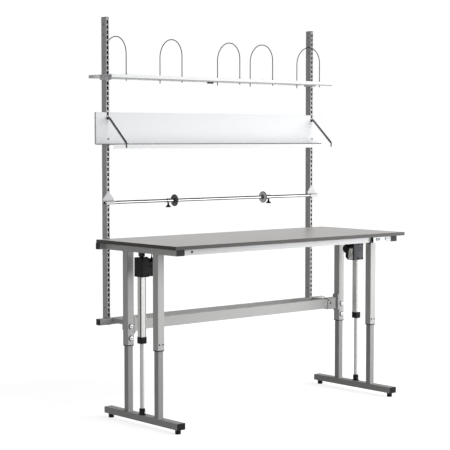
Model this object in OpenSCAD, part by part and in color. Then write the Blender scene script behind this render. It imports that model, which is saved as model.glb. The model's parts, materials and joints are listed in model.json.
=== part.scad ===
// Height-adjustable packing table: worktop on two telescopic leg frames with linear actuators,
// two slotted uprights behind it, a lipped shelf, a divider shelf and a paper-roll bar.
// Millimetres, +X along the table, +Y to the rear, +Z up from the floor. Shown fully raised.

/* [Worktop] */
// Length of the worktop
top_l = 2000; // [1600:50:2400]
// Depth of the worktop
top_d = 800; // [780:10:900]
// Thickness of the board
top_t = 22; // [18:1:30]
// Thickness of the edge band
edge_t = 2; // [1:0.5:3]
// Height of the worktop at its lowest
low_h = 732; // [700:4:800]

/* [Lift] */
// Travel of the height adjustment
stroke = 400; // [350:10:420]

/* [Leg frames] */
// From the end of the worktop to the middle of a leg frame
leg_inset = 68; // [50:1:90]
// Distance between the axes of the two legs of a frame
leg_pitch = 304; // [280:2:330]
// How far the legs stand behind the middle of the worktop
leg_shift = 4; // [0:1:10]
// Width of an outer leg tube
outer_w = 50; // [48:1:54]
// Wall of an outer leg tube
outer_wall = 2; // [1.5:0.1:2.2]
// Width of an inner post
inner_w = 40; // [36:1:40]
// Wall of an inner post
inner_wall = 2; // [1.5:0.5:3]
// Room under an outer tube at the lowest height
leg_clear = 17; // [12:1:25]
// Room above an inner post at the lowest height
post_clear = 30; // [20:1:50]
// Corner radius of the steel tubes
tube_r = 3; // [1:0.5:4]
// Length of the guide bush in an outer tube
bush_l = 140; // [60:5:150]
// Lip of the guide bush under the outer tube
bush_lip = 3; // [2:0.5:5]

/* [Beams] */
// Width of a base beam or cross beam
beam_w = 60; // [56:1:70]
// Height of a base beam or cross beam
beam_h = 40; // [36:1:50]
// Wall of every beam
beam_wall = 2; // [1.5:0.5:3]
// Length of a base beam over its plugs
base_l = 740; // [680:10:800]
// From the front edge of the worktop to the front of a cross beam
cross_setback = 38; // [30:1:60]
// From the rear edge of the worktop forward to the front of the rear beams
rear_setback = 34; // [30:1:38]
// Width and height of a rear beam
rear_w = 40; // [36:1:50]
// Height of the lower rear beam above the floor
low_beam_z = 588; // [560:2:600]
// Head thickness of a tube plug
plug_t = 3; // [2:0.5:5]
// Length of a plug inside its tube
plug_in = 18; // [12:1:25]

/* [Levelling feet] */
// Height of the underside of a base beam
foot_h = 28; // [24:1:34]
// Diameter of a foot pad
pad_d = 35; // [30:1:40]
// Thickness of the rim of a foot pad
pad_t = 9; // [6:0.5:10]
// Diameter of the foot stud
stud_d = 10; // [8:1:12]
// Length of stud inside the beam
stud_in = 30; // [20:1:30]
// From the end of a base beam to its foot
foot_inset = 33; // [25:1:45]

/* [Front rail and stretcher] */
// Height of the front rail
rail_h = 38; // [32:1:39]
// Sheet thickness of the front rail
rail_t = 2; // [1.5:0.5:3]
// Depth of the top flange of the rail
rail_top = 25; // [15:1:30]
// Depth of the bottom flange of the rail
rail_lip = 15; // [8:1:20]
// Height of the stretcher tube
stretch_h = 66; // [56:1:76]
// Depth of the stretcher tube
stretch_d = 30; // [25:1:36]
// Length of a stretcher socket
socket_l = 90; // [60:5:110]
// Wall of a stretcher socket
socket_wall = 3; // [2:0.5:4]
// Extra height of a socket above and below the stretcher
socket_over = 7; // [5:0.5:10]
// Thickness of a stretcher end plate
end_t = 12; // [8:1:14]
// Height of a stretcher end plate
end_h = 123; // [110:1:140]
// Width of a stretcher end plate
end_w = 52; // [48:1:60]

/* [Uprights] */
// From the middle of a leg frame inwards to an upright
upright_in = 32; // [28:1:40]
// Width of an upright
upright_w = 25; // [22:1:30]
// Depth of an upright
upright_d = 50; // [40:1:60]
// Wall of an upright
upright_wall = 2; // [1.5:0.5:3]
// Length of an upright over its caps
upright_l = 1952; // [1850:4:2100]
// How far an upright reaches below the lower rear beam
upright_drop = 8; // [4:1:8]
// Pitch of the slots
slot_pitch = 32; // [30:1:40]
// Height of a slot
slot_h = 20; // [16:1:24]
// Width of a slot
slot_w = 10; // [8:1:12]
// Diameter of the side holes
side_d = 9; // [6:0.5:10]

/* [Middle shelf] */
// Height of the shelf surface above the floor
mid_z = 1730; // [1650:2:1780]
// Depth of the middle shelf
mid_d = 192; // [170:2:240]
// How far both shelf and panel reach past the uprights
mid_over = 95; // [60:1:120]
// Height of the front lip
mid_lip = 25; // [20:1:35]
// Sheet thickness of the shelves and the panel
sheet_t = 1.5; // [1.2:0.1:2]
// Height of the back panel
panel_h = 200; // [190:5:230]
// Depth of the flange at each end of the panel
panel_flange = 15; // [10:1:25]
// Width of the notch for the strut hook
notch_w = 30; // [28:1:40]
// Least distance from the top of the panel down to the middle of the strut's slot
notch_min = 34; // [30:1:46]
// Diameter of a strut
strut_d = 10; // [8:0.5:11]
// Thickness of the hooks of a strut
hook_d = 6; // [5.5:0.5:7]

/* [Divider shelf] */
// Height of the upper face of the divider shelf
up_z = 2168; // [2110:2:2260]
// Depth of the divider shelf
up_d = 250; // [240:5:280]
// Distance from the rear face of the uprights to the rear of the shelf
up_rear = 62; // [56:1:72]
// How far the divider shelf reaches past the uprights
up_over = 67; // [50:1:90]
// Height of its front lip
up_lip = 28; // [24:1:36]
// Height of its rear lip
up_back_lip = 20; // [16:1:30]
// Distance between the legs of a divider
div_w = 230; // [200:5:230]
// Height of a divider above the shelf
div_h = 246; // [200:2:280]
// Diameter of the divider wire
wire_d = 6; // [5:0.5:8]
// How far a divider pin reaches below the shelf surface
pin_l = 40; // [32:1:50]

/* [Roll holder] */
// Height of the roll bar's axis
bar_z = 1362; // [1300:2:1420]
// Diameter of the roll bar
bar_d = 22; // [20:1:26]
// Wall of the roll bar
bar_wall = 2; // [1.5:0.5:3]
// How far the bar reaches past the middle of an upright
bar_over = 40; // [34:1:46]
// Space between the bar and its back plate
bar_gap = 4; // [3:0.5:8]
// Plate thickness of a roll bracket
roll_t = 2.5; // [2:0.5:4]
// Half width of the back plate of a roll bracket
roll_half = 42; // [36:1:50]
// Half length of the trough under the bar
trough_half = 35; // [25:1:40]
// Height of the back plate's sloping top above the bar's axis
roll_up = 60; // [50:1:80]
// Diameter of a roll disc
disc_d = 80; // [70:1:100]
// Thickness of a roll disc
disc_t = 5; // [3:0.5:8]
// Length of the collar on a disc
collar_l = 64; // [56:1:80]
// Outer diameter of the collar
collar_d = 28; // [27:1:34]
// Place of the left disc along the bar
left_disc_x = -378; // [-600:2:-200]
// Place of the right disc along the bar
right_disc_x = 415; // [200:2:600]
// Diameter of a thumb screw's head
thumb_d = 36; // [30:1:42]
// Height of a thumb screw's head
thumb_h = 30; // [26:1:36]

/* [Actuators] */
// How far an actuator stands outside the middle of its leg frame
act_out = 14; // [8:1:15]
// Width of the actuator profile
profile_w = 40; // [38:1:44]
// Bore of the actuator profile
profile_bore = 31; // [30:0.5:33]
// Height of the black collar under the profile
guide_h = 41; // [34:1:50]
// Width of the black collar
guide_w = 44; // [43:1:48]
// Diameter of the push rod
rod_d = 27; // [24:0.5:28]
// Bore of the push rod
rod_bore = 21; // [18:0.5:22]
// Height of the foot of the push rod
rod_foot_h = 43; // [41:1:50]
// Diameter of the actuator pins
pin_d = 10; // [8:0.5:12]
// Diameter of the lead screw
screw_d = 14; // [12:0.5:16]
// Height of the gearbox housing
gear_h = 119; // [110:1:130]
// Width of the gearbox housing along the table
gear_w = 58; // [52:1:64]
// Depth of the gearbox housing
gear_d = 79; // [70:1:90]
// Room between the gearbox and the cross beam
head_gap = 29; // [24:1:34]
// Diameter of a motor
motor_d = 63; // [56:1:66]
// Length of a motor
motor_l = 88; // [75:1:110]
// Height of the connector box under the motor
conn_h = 46; // [38:1:46]
// Length of the connector box
conn_l = 66; // [50:1:70]

/* [Controls] */
// Width of the handset
hs_w = 112; // [100:1:130]
// Depth of the handset
hs_d = 18; // [16:1:24]
// Height of the handset
hs_h = 40; // [36:1:44]
// From the right cross beam to the handset
hs_off = 78; // [60:1:120]
// Width of a button
btn_w = 15; // [12:1:18]
// Height of a button
btn_h = 11; // [9:1:14]
// Travel of a button
btn_travel = 1.5; // [1:0.1:2]
// Length of the control box
box_l = 220; // [180:5:260]
// Depth of the control box
box_d = 100; // [80:5:120]
// Height of the control box
box_h = 42; // [36:1:50]
// Diameter of the cables
cable_d = 6; // [5:0.5:7]

/* [Hidden] */
$fn = 48;

// Clearance between a moving piece and what it runs in, and the overrun of every cut
gap = 0.3;
cut = 1;

// Heights
base_top = foot_h + beam_h;
top_z = low_h + stroke;
cross_top = top_z - top_t;
cross_bot = cross_top - beam_h;
outer_l = cross_bot - stroke - base_top - leg_clear;
outer_bot = cross_bot - outer_l;
inner_l = cross_bot - stroke - base_top - post_clear;
upright_bot = low_beam_z - upright_drop;
upright_top = upright_bot + upright_l;
stretch_z = low_beam_z + rear_w / 2;

// Places along the table, and front to rear from the middle of the worktop
leg_x = top_l / 2 - leg_inset;
upright_x = leg_x - upright_in;
act_x = leg_x + act_out;
cross_front = -top_d / 2 + cross_setback;
rear_y = top_d / 2 - rear_setback;
upright_y = rear_y + rear_w;
leg_front = leg_shift - leg_pitch / 2;
leg_rear = leg_shift + leg_pitch / 2;
base_front = leg_shift - base_l / 2;
base_rear = leg_shift + base_l / 2;

// The whole table is centred on the middle of its outer box
up_back = upright_y + upright_d + up_rear;
shift_y = (top_d / 2 - up_back) / 2;

// Slots, and the holes near the ends of an upright
slot_n = floor((upright_l - slot_pitch) / slot_pitch);
slot_z0 = upright_bot + (upright_l - (slot_n - 1) * slot_pitch) / 2;
side_in = [46, 110];

// Bolts between the uprights and the rear beams
fixing_slots = [0, round((cross_top - rear_w / 2 - slot_z0) / slot_pitch)];
fix_d = 8;
fix_head_d = 13;
fix_head_h = 8;
fix_in = 18;

// Guide bush, plugs, feet
bush_out = outer_w - 2 * outer_wall;
bush_in = inner_w + 2 * gap;
rivet_d = 6;
rivet_off = 14;
rivet_up = 35;
pad_top_d = 20;
pad_cone = 5;
hex_w = 17;
hex_h = 6;
plug_wall = 2.5;

// Leg bolts that hold the rear guide bushes
bolt_d = 12;
bolt_head_d = 28;
bolt_head_h = 8;
bolt_rim = 2;
bolt_up = [42, 116];

// Button-head screws
bh_d = 6;
bh_head_d = 11;
bh_head_h = 3.5;
bh_l = 12;

// Front rail, stretcher and arms
rail_screw_in = 57;
angle_w = 24;
angle_t = 3;
angle_l = 50;
socket_h = stretch_h + 2 * socket_over;
stretch_back = 7;
stretch_y = leg_rear + outer_w / 2 - stretch_back - stretch_d;
end_y = leg_rear + outer_w / 2 - end_w / 2;
end_chamfer = 18;
socket_screws = [[11, 26], [28, 3]];
arm_w = 25;
arm_h = 30;
arm_off = 11.5;
arm_rise = 5;
arm_plate_t = 6;
arm_plate_h = 60;
rail_screw_x = leg_x - beam_w / 2 - rail_screw_in;

// Middle shelf
panel_gap = 3;
bracket_w = 36;
bracket_t = 2;
bracket_h = 114;
bracket_foot = 46;
tongue_w = 8;
tongue_l = 6;
tongue_h = 14;
panel_y = upright_y - bracket_t - sheet_t;
panel_z = mid_z + panel_gap;
mid_front = panel_y - mid_d;
bracket_slot = ceil((mid_z + bh_head_d - slot_z0) / slot_pitch);
panel_screw_z = slot_z0 + bracket_slot * slot_pitch;
bracket_slots = [bracket_slot + 1, bracket_slot + 2];
hook_slot = floor((panel_z + panel_h - notch_min - slot_z0) / slot_pitch);
hook_over = 5;
notch_z = slot_z0 + hook_slot * slot_pitch - slot_h / 2 + hook_over;
hook_z = notch_z + gap;
strut_y = mid_front - hook_d / 2 - gap;
strut_rise = slot_h - hook_over - 2 * gap;
strut_ball = strut_d + 2 * gap;
tip_d = 5;
tip_in = 5;
tip_z = mid_z - mid_lip + 2 * tip_d;

// Divider shelf
clamp_t = 2.5;
clamp_before = 22;
clamp_after = 14;
clamp_drop = 2;
clamp_slot = floor((up_z - sheet_t - tongue_h / 2 - slot_z0) / slot_pitch);
div_shares = [-0.944, -0.444, 0.111, 0.444, 0.944];
div_r = div_w / 2 - 1;
div_collar_d = 10;
div_collar_h = 5;

// Roll holder
bar_y = upright_y - roll_t - bar_gap - bar_d / 2;
bar_half = upright_x + bar_over;
trough_rise = 8;
roll_down = 13.8;
disc_hub_d = 34;
disc_hub_t = 6;
thumb_off = 50;
thumb_neck = 11;
thumb_shank = 6;
thumb_rim = 5;

// Actuators
guide_bot = base_top + rod_foot_h + stroke;
gear_top = cross_bot - head_gap;
gear_bot = gear_top - gear_h;
profile_bot = guide_bot + guide_h;
profile_r = 4;
groove_w = 8;
groove_d = 3;
rod_lap = 29;
rod_top = guide_bot + rod_lap;
nut_h = 24;
eye_w = 16;
eye_d = 24;
eye_h = 28;
rod_free = 3;
rod_bot = base_top + rod_foot_h - rod_free;
eye_z = rod_bot - eye_h / 2;
cheek_t = 4;
cheek_d = 30;
foot_plate_t = 4;
foot_plate_d = 44;
cheek_over = 9;
gear_bore_h = 40;
screw_low = guide_bot + 2 * gap;
head_w = 20;
head_d = 34;
head_r = 8;
motor_y = -4;
motor_drop = 7;
motor_z = gear_top - motor_d / 2 - motor_drop;
motor_end = 10;
conn_d = 40;
conn_cut = 20;
gland_d = 11;
gland_h = 8;
gland_in = 45;

// Controls
box_y = -10;
box_wall = 3;
post_d = 8;
board_up = 5;
board_t = 1.6;
trafo_w = 46;
trafo_h = 26;
relay_w = 18;
relay_h = 15;
switch_d = 6;
hs_x1 = leg_x - beam_w / 2 - hs_off;
hs_x0 = hs_x1 - hs_w;
hs_wall = 3;
plate_t = 1.5;
hs_front = cross_front - hs_d;
btn_x = [34, 56];
btn_proud = 2;
btn_flange = 2;
btn_flange_t = 1.5;
btn_up = 2;
clip_w = 10;
clip_wall = 5;
cable_z = cross_top - clip_wall / 2 - cable_d / 2;
cable_sides = 8;
cable_steps = 4;
motor_cable_clips = [250, 450, 700];
handset_cable_in = 62;
handset_cable_y = cross_front + handset_cable_in;
handset_cable_clips = [640, 440, 240];
loop_out = 14;

// Shared shapes

// Puts a piece where the origin is the middle of the outer box
module place() { translate([0, shift_y, 0]) children(); }

// A piece and its mirror image at the other end of the table
module both() {
    children();
    mirror([1, 0, 0]) children();
}

// The piece modelled at the right end, shown at the left or right end
module side(left) { mirror([left ? 1 : 0, 0, 0]) children(); }

// Rectangle w x d round the origin with corner radius r
module round_rect(w, d, r) {
    square([w - 2 * r, d], center = true);
    square([w, d - 2 * r], center = true);
    for (x = [-1, 1], y = [-1, 1])
        translate([x * (w / 2 - r), y * (d / 2 - r)]) circle(r = r);
}

// Hollow tube of length l from z = 0, section w x d
module tube(w, d, wall, l, r = tube_r) {
    difference() {
        linear_extrude(height = l) round_rect(w, d, r);
        translate([0, 0, -cut])
            linear_extrude(height = l + 2 * cut)
                round_rect(w - 2 * wall, d - 2 * wall, max(r - wall, wall / 2));
    }
}

// Tube along +Y from y0 to y1, w along X and h along Z, its lower face at z
module tube_y(x, y0, y1, z, w, h, wall) {
    translate([x, y0, z + h / 2]) rotate([-90, 0, 0]) tube(w, h, wall, y1 - y0);
}

// Tube along +X between x0 and x1, d along Y and h along Z, front face at y, lower face at z
module tube_x(x0, x1, y, z, d, h, wall) {
    translate([x0, y + d / 2, z + h / 2]) rotate([90, 0, 90]) tube(d, h, wall, x1 - x0);
}

// Box between two corners
module block(a, b) { translate(a) cube(b - a); }

// Plug with its head on the +Z side of the tube's end at z = 0
module plug(w, h, wall) {
    linear_extrude(height = plug_t) round_rect(w, h, tube_r);
    translate([0, 0, -plug_in])
        difference() {
            linear_extrude(height = plug_in + cut / 2)
                round_rect(w - 2 * wall, h - 2 * wall, max(tube_r - wall, wall / 2));
            translate([0, 0, -cut])
                linear_extrude(height = plug_in + cut)
                    round_rect(w - 2 * wall - 2 * plug_wall, h - 2 * wall - 2 * plug_wall, wall / 2);
        }
}

// Round bar along an axis, from a point
module rod_x(p, d, l) { translate(p) rotate([0, 90, 0]) cylinder(d = d, h = l); }
module rod_y(p, d, l) { translate(p) rotate([-90, 0, 0]) cylinder(d = d, h = l); }
module rod_z(p, d, l) { translate(p) cylinder(d = d, h = l); }

// Button-head screw whose head sits on z = 0 and whose shank runs down
module button_screw(l = bh_l) {
    rotate_extrude()
        polygon([[0, -l], [bh_d / 2, -l], [bh_d / 2, 0], [bh_head_d / 2, 0], [bh_head_d / 2, bh_head_h / 4],
                 [bh_head_d / 3, bh_head_h * 3 / 4], [bh_head_d / 6, bh_head_h], [0, bh_head_h]]);
}

// Point on a smooth curve through p1 and p2, and a tube swept along such a curve
function curve_at(p0, p1, p2, p3, t) =
    p1 + (p2 - p0) * t / 2 + (2 * p0 - 5 * p1 + 4 * p2 - p3) * t * t / 2
    + (3 * p1 - p0 - 3 * p2 + p3) * t * t * t / 2;
function padded(p) = concat([2 * p[0] - p[1]], p, [2 * p[len(p) - 1] - p[len(p) - 2]]);
function smooth(p, n) = let (q = padded(p)) concat(
    [for (i = [1 : len(p) - 1], k = [0 : n - 1]) curve_at(q[i - 1], q[i], q[i + 1], q[i + 2], k / n)],
    [p[len(p) - 1]]);
function unit(v) = v / norm(v);
function heading(p, i) = unit(p[min(i + 1, len(p) - 1)] - p[max(i - 1, 0)]);
module cable(route) {
    p = smooth(route, cable_steps);
    n = len(p);
    lean = [0.31, 0.52, 0.8];
    points = [for (i = [0 : n - 1])
        let (t = heading(p, i), u = unit(cross(t, lean)), v = cross(t, u))
        for (k = [0 : cable_sides - 1])
            p[i] + (cos(k * 360 / cable_sides) * u + sin(k * 360 / cable_sides) * v) * cable_d / 2];
    walls = [for (i = [0 : n - 2], k = [0 : cable_sides - 1])
        let (a = i * cable_sides + k, b = i * cable_sides + (k + 1) % cable_sides)
        each [[a, a + cable_sides, b], [b, a + cable_sides, b + cable_sides]]];
    first = [for (k = [1 : cable_sides - 2]) [0, k, k + 1]];
    last = [for (k = [1 : cable_sides - 2])
        let (z = (n - 1) * cable_sides) [z, z + k + 1, z + k]];
    polyhedron(points = points, faces = concat(walls, first, last));
}

// Worktop

module worktop() {
    color("#c4c4c2") place()
        block([-top_l / 2 + edge_t, -top_d / 2 + edge_t, cross_top],
              [top_l / 2 - edge_t, top_d / 2 - edge_t, top_z]);
}

module worktop_edge_band() {
    color("#4a4a4a") place() difference() {
        block([-top_l / 2, -top_d / 2, cross_top], [top_l / 2, top_d / 2, top_z]);
        block([-top_l / 2 + edge_t, -top_d / 2 + edge_t, cross_top - cut],
              [top_l / 2 - edge_t, top_d / 2 - edge_t, top_z + cut]);
    }
}

// Frame

// Beams across the table, each with an angle that takes the screw of the front rail
module cross_beams() {
    x = leg_x - beam_w / 2;
    z0 = cross_top - rail_h + rail_t + gap;
    z1 = cross_top - rail_t - gap;
    color("#a9aaa9") place() both() {
        tube_y(leg_x, cross_front + plug_t, rear_y, cross_bot, beam_w, beam_h, beam_wall);
        difference() {
            union() {
                block([rail_screw_x - angle_w / 2, cross_front + rail_t, z0],
                      [x, cross_front + rail_t + angle_t, z1]);
                block([x - angle_t, cross_front + plug_t, z0],
                      [x + beam_wall / 2, cross_front + angle_l, z1]);
            }
            rod_y([rail_screw_x, cross_front, cross_top - rail_h / 2], bh_d + 2 * gap, angle_l);
        }
    }
}

module outer_legs() {
    color("#a9aaa9") place() both() {
        difference() {
            translate([leg_x, leg_front, outer_bot]) tube(outer_w, outer_w, outer_wall, outer_l);
            for (x = [-rivet_off, rivet_off])
                rod_y([leg_x + x, leg_front - outer_w / 2 - cut, outer_bot + rivet_up],
                      rivet_d, outer_wall + 2 * cut);
        }
        difference() {
            translate([leg_x, leg_rear, outer_bot]) tube(outer_w, outer_w, outer_wall, outer_l);
            for (z = bolt_up)
                rod_y([leg_x, leg_rear - outer_w / 2 - cut, outer_bot + z], bolt_d + 2 * gap,
                      outer_wall + 2 * cut);
        }
    }
}

module leg_guide_bushes() {
    color("#1c1c1d") place() both() for (y = [leg_front, leg_rear])
        difference() {
            translate([leg_x, y, outer_bot - bush_lip]) {
                linear_extrude(height = bush_lip) round_rect(outer_w, outer_w, tube_r);
                linear_extrude(height = bush_lip + bush_l)
                    round_rect(bush_out, bush_out, outer_wall / 2);
            }
            translate([leg_x, y, outer_bot - bush_lip - cut])
                linear_extrude(height = bush_lip + bush_l + 2 * cut)
                    round_rect(bush_in, bush_in, tube_r);
            if (y == leg_rear) for (z = bolt_up)
                rod_y([leg_x, leg_rear - outer_w / 2 - cut, outer_bot + z], bolt_d + 2 * gap,
                      outer_w / 2);
        }
}

// Plugs of the beams, and the caps of the uprights
module tube_end_plugs() {
    color("#3a3b3c") place() both() {
        translate([upright_x, upright_y + upright_d / 2, upright_top - plug_t])
            plug(upright_w, upright_d, upright_wall);
        translate([upright_x, upright_y + upright_d / 2, upright_bot + plug_t])
            rotate([180, 0, 0]) plug(upright_w, upright_d, upright_wall);
        translate([leg_x, cross_front + plug_t, cross_bot + beam_h / 2])
            rotate([90, 0, 0]) plug(beam_w, beam_h, beam_wall);
        for (z = [cross_top - rear_w, low_beam_z])
            translate([top_l / 2 - plug_t, rear_y + rear_w / 2, z + rear_w / 2])
                rotate([90, 0, 90]) plug(rear_w, rear_w, beam_wall);
    }
}

// Sheet rail under the front edge, open to the rear, drilled for its screws
module front_rail() {
    x = leg_x - beam_w / 2;
    color("#e4e5e6") place() difference() {
        union() {
            block([-x, cross_front, cross_top - rail_h], [x, cross_front + rail_t, cross_top]);
            block([-x, cross_front, cross_top - rail_t], [x, cross_front + rail_top, cross_top]);
            block([-x, cross_front, cross_top - rail_h],
                  [x, cross_front + rail_lip, cross_top - rail_h + rail_t]);
        }
        for (s = [-1, 1])
            rod_y([s * rail_screw_x, cross_front - cut, cross_top - rail_h / 2], bh_d + 2 * gap,
                  rail_t + 2 * cut);
    }
}

module button_head_screws() {
    color("#3c3c3e") place() {
        for (s = [-1, 1])
            translate([s * rail_screw_x, cross_front, cross_top - rail_h / 2])
                rotate([90, 0, 0]) button_screw();
        for (s = [-1, 1])
            translate([s * upright_x, panel_y, panel_screw_z])
                rotate([90, 0, 0]) button_screw();
        both() for (p = socket_screws)
            translate([leg_x - outer_w / 2 - end_t - socket_l + p[0], stretch_y - socket_wall,
                       stretch_z + p[1]])
                rotate([90, 0, 0]) button_screw();
    }
}

module stretcher() {
    x = leg_x - outer_w / 2 - end_t;
    color("#a9aaa9") place() difference() {
        tube_x(-x, x, stretch_y, stretch_z - stretch_h / 2, stretch_d, stretch_h, beam_wall);
        for (s = [-1, 1], p = socket_screws)
            rod_y([s * (x - socket_l + p[0]), stretch_y - cut, stretch_z + p[1]], bh_d + 2 * gap,
                  beam_wall + 2 * cut);
    }
}

// Bolted end plate with the socket that takes the stretcher
module stretcher_ends() {
    x1 = leg_x - outer_w / 2;
    x0 = x1 - end_t;
    half = end_h / 2;
    color("#b4b5b5") place() both() difference() {
        union() {
            translate([x0, end_y, stretch_z]) rotate([90, 0, 90])
                linear_extrude(height = end_t)
                    polygon([[-end_w / 2, half], [end_w / 2, half], [end_w / 2, end_chamfer - half],
                             [end_w / 2 - end_chamfer, -half], [end_chamfer - end_w / 2, -half],
                             [-end_w / 2, end_chamfer - half]]);
            tube_x(x0 - socket_l, x0 + cut / 2, stretch_y - socket_wall, stretch_z - socket_h / 2,
                   stretch_d + 2 * socket_wall, socket_h, socket_wall);
            for (s = [-1, 1])
                block([x0 - socket_l, stretch_y - cut / 2,
                       stretch_z + (s < 0 ? -socket_h / 2 + socket_wall / 2 : stretch_h / 2)],
                      [x0 + cut / 2, stretch_y + stretch_d + cut / 2,
                       stretch_z + (s < 0 ? -stretch_h / 2 : socket_h / 2 - socket_wall / 2)]);
        }
        for (p = socket_screws)
            rod_y([x0 - socket_l + p[0], stretch_y - socket_wall - cut, stretch_z + p[1]],
                  bh_d + 2 * gap, socket_wall + 2 * cut);
    }
}

module rear_beams() {
    color("#a2a3a2") place() difference() {
        for (z = [cross_top - rear_w, low_beam_z])
            tube_x(plug_t - top_l / 2, top_l / 2 - plug_t, rear_y, z, rear_w, rear_w, beam_wall);
        for (s = [-1, 1], k = fixing_slots)
            rod_y([s * upright_x, rear_y + rear_w / 2, slot_z0 + k * slot_pitch], fix_d + 2 * gap,
                  rear_w / 2 + cut);
    }
}

module upright_arms() {
    y0 = leg_rear + outer_w / 2;
    x0 = upright_x - arm_off - arm_w / 2;
    color("#a2a3a2") place() both() {
        block([x0, y0, stretch_z - arm_plate_h / 2],
              [leg_x + outer_w / 2, y0 + arm_plate_t, stretch_z + arm_plate_h / 2]);
        tube_y(x0 + arm_w / 2, y0 + arm_plate_t - cut / 2, rear_y, stretch_z + arm_rise - arm_h / 2,
               arm_w, arm_h, beam_wall);
    }
}

// Low domed bolts that end in the wall of the guide bush, clear of the inner post
module leg_bolts() {
    shank = outer_w / 2 - bush_in / 2 - gap;
    color("#d9dadc") place() both() for (z = bolt_up)
        translate([leg_x, leg_rear - outer_w / 2, outer_bot + z]) rotate([90, 0, 0])
            rotate_extrude()
                polygon([[0, -shank], [bolt_d / 2, -shank], [bolt_d / 2, 0], [bolt_head_d / 2, 0],
                         [bolt_head_d / 2, bolt_rim], [bolt_head_d * 0.41, bolt_head_h * 0.6],
                         [bolt_head_d * 0.28, bolt_head_h * 0.88], [bolt_head_d * 0.12, bolt_head_h],
                         [0, bolt_head_h]]);
}

// Uprights with their row of slots

module uprights() {
    bottom = upright_bot + plug_t;
    color("#adadac") place() both() difference() {
        translate([upright_x, upright_y + upright_d / 2, bottom])
            tube(upright_w, upright_d, upright_wall, upright_l - 2 * plug_t, upright_wall);
        for (k = [0 : slot_n - 1])
            block([upright_x - slot_w / 2, upright_y - cut, slot_z0 + k * slot_pitch - slot_h / 2],
                  [upright_x + slot_w / 2, upright_y + upright_wall + cut,
                   slot_z0 + k * slot_pitch + slot_h / 2]);
        for (a = side_in, z = [upright_bot + a, upright_top - a])
            rod_x([upright_x - upright_w / 2 - cut, upright_y + upright_d / 2, z], side_d,
                  upright_w + 2 * cut);
        for (k = fixing_slots)
            rod_y([upright_x, upright_y + upright_d / 2, slot_z0 + k * slot_pitch], fix_d + 2 * gap,
                  upright_d / 2 + cut);
    }
}

// Hexagon bolts from behind, through the upright and a slot into the rear beam
module upright_bolts() {
    y1 = upright_y + upright_d;
    color("#8f9092") place() both() for (k = fixing_slots)
        translate([upright_x, y1, slot_z0 + k * slot_pitch]) {
            rotate([-90, 0, 0]) cylinder(d = fix_head_d, h = fix_head_h, $fn = 6);
            rod_y([0, -upright_d - fix_in, 0], fix_d, upright_d + fix_in + cut / 2);
        }
}

// Middle shelf, its back panel, struts and brackets

module middle_shelf() {
    x = upright_x + mid_over;
    color("#dfe1e4") place() difference() {
        union() {
            block([-x, mid_front, mid_z - sheet_t], [x, panel_y, mid_z]);
            block([-x, mid_front, mid_z - mid_lip], [x, mid_front + sheet_t, mid_z]);
            block([-x, mid_front, mid_z - mid_lip],
                  [x, mid_front + mid_lip / 2, mid_z - mid_lip + sheet_t]);
        }
        for (s = [-1, 1])
            rod_y([s * upright_x, mid_front - cut, tip_z], tip_d + 2 * gap, sheet_t + 2 * cut);
    }
}

module shelf_back_panel() {
    x = upright_x + mid_over;
    color("#e3e5e8") place() difference() {
        union() {
            block([-x, panel_y, panel_z], [x, panel_y + sheet_t, panel_z + panel_h]);
            for (s = [0, 1])
                block([s ? x - sheet_t : -x, panel_y, panel_z],
                      [s ? x : sheet_t - x, panel_y + panel_flange, panel_z + panel_h]);
        }
        for (s = [-1, 1]) {
            block([s * upright_x - notch_w / 2, panel_y - cut, notch_z],
                  [s * upright_x + notch_w / 2, panel_y + sheet_t + cut, panel_z + panel_h + cut]);
            rod_y([s * upright_x, panel_y - cut, panel_screw_z], bh_d + 2 * gap, sheet_t + 2 * cut);
        }
    }
}

// Slanting rod with a hook in an upright's slot and a pin through the shelf
module shelf_struts() {
    z0 = mid_z + strut_d / 2 + gap;
    y1 = upright_y - strut_d;
    run = [0, y1 - strut_y, hook_z + strut_rise - z0];
    angle = atan2(run[1], run[2]);
    color("#4a4a50") place() both() {
        translate([upright_x, strut_y, z0]) {
            rotate([-angle, 0, 0]) cylinder(d = strut_d, h = norm(run));
            sphere(d = strut_ball);
            translate(run) sphere(d = strut_ball);
        }
        block([upright_x - hook_d / 2, y1, hook_z],
              [upright_x + hook_d / 2, upright_y + tongue_l, hook_z + strut_rise]);
        rod_z([upright_x, strut_y, tip_z - tip_d], hook_d, z0 - tip_z + tip_d);
        rod_y([upright_x, strut_y, tip_z], tip_d, mid_front + sheet_t + tip_in - strut_y);
    }
}

// Plate between panel and upright with tongues in two slots and a foot under the shelf
module shelf_brackets() {
    color("#b9babd") place() both() difference() {
        union() {
            block([upright_x - bracket_w / 2, upright_y - bracket_t, mid_z - sheet_t - bracket_t],
                  [upright_x + bracket_w / 2, upright_y, mid_z + bracket_h]);
            block([upright_x - bracket_w / 2, upright_y - bracket_foot, mid_z - sheet_t - bracket_t],
                  [upright_x + bracket_w / 2, upright_y, mid_z - sheet_t]);
            for (k = bracket_slots)
                block([upright_x - tongue_w / 2, upright_y - bracket_t,
                       slot_z0 + k * slot_pitch - tongue_h / 2],
                      [upright_x + tongue_w / 2, upright_y + tongue_l,
                       slot_z0 + k * slot_pitch + tongue_h / 2]);
        }
        rod_y([upright_x, upright_y - bracket_t - cut, panel_screw_z], bh_d + 2 * gap,
              bracket_t + 2 * cut);
    }
}

// Divider shelf

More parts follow.
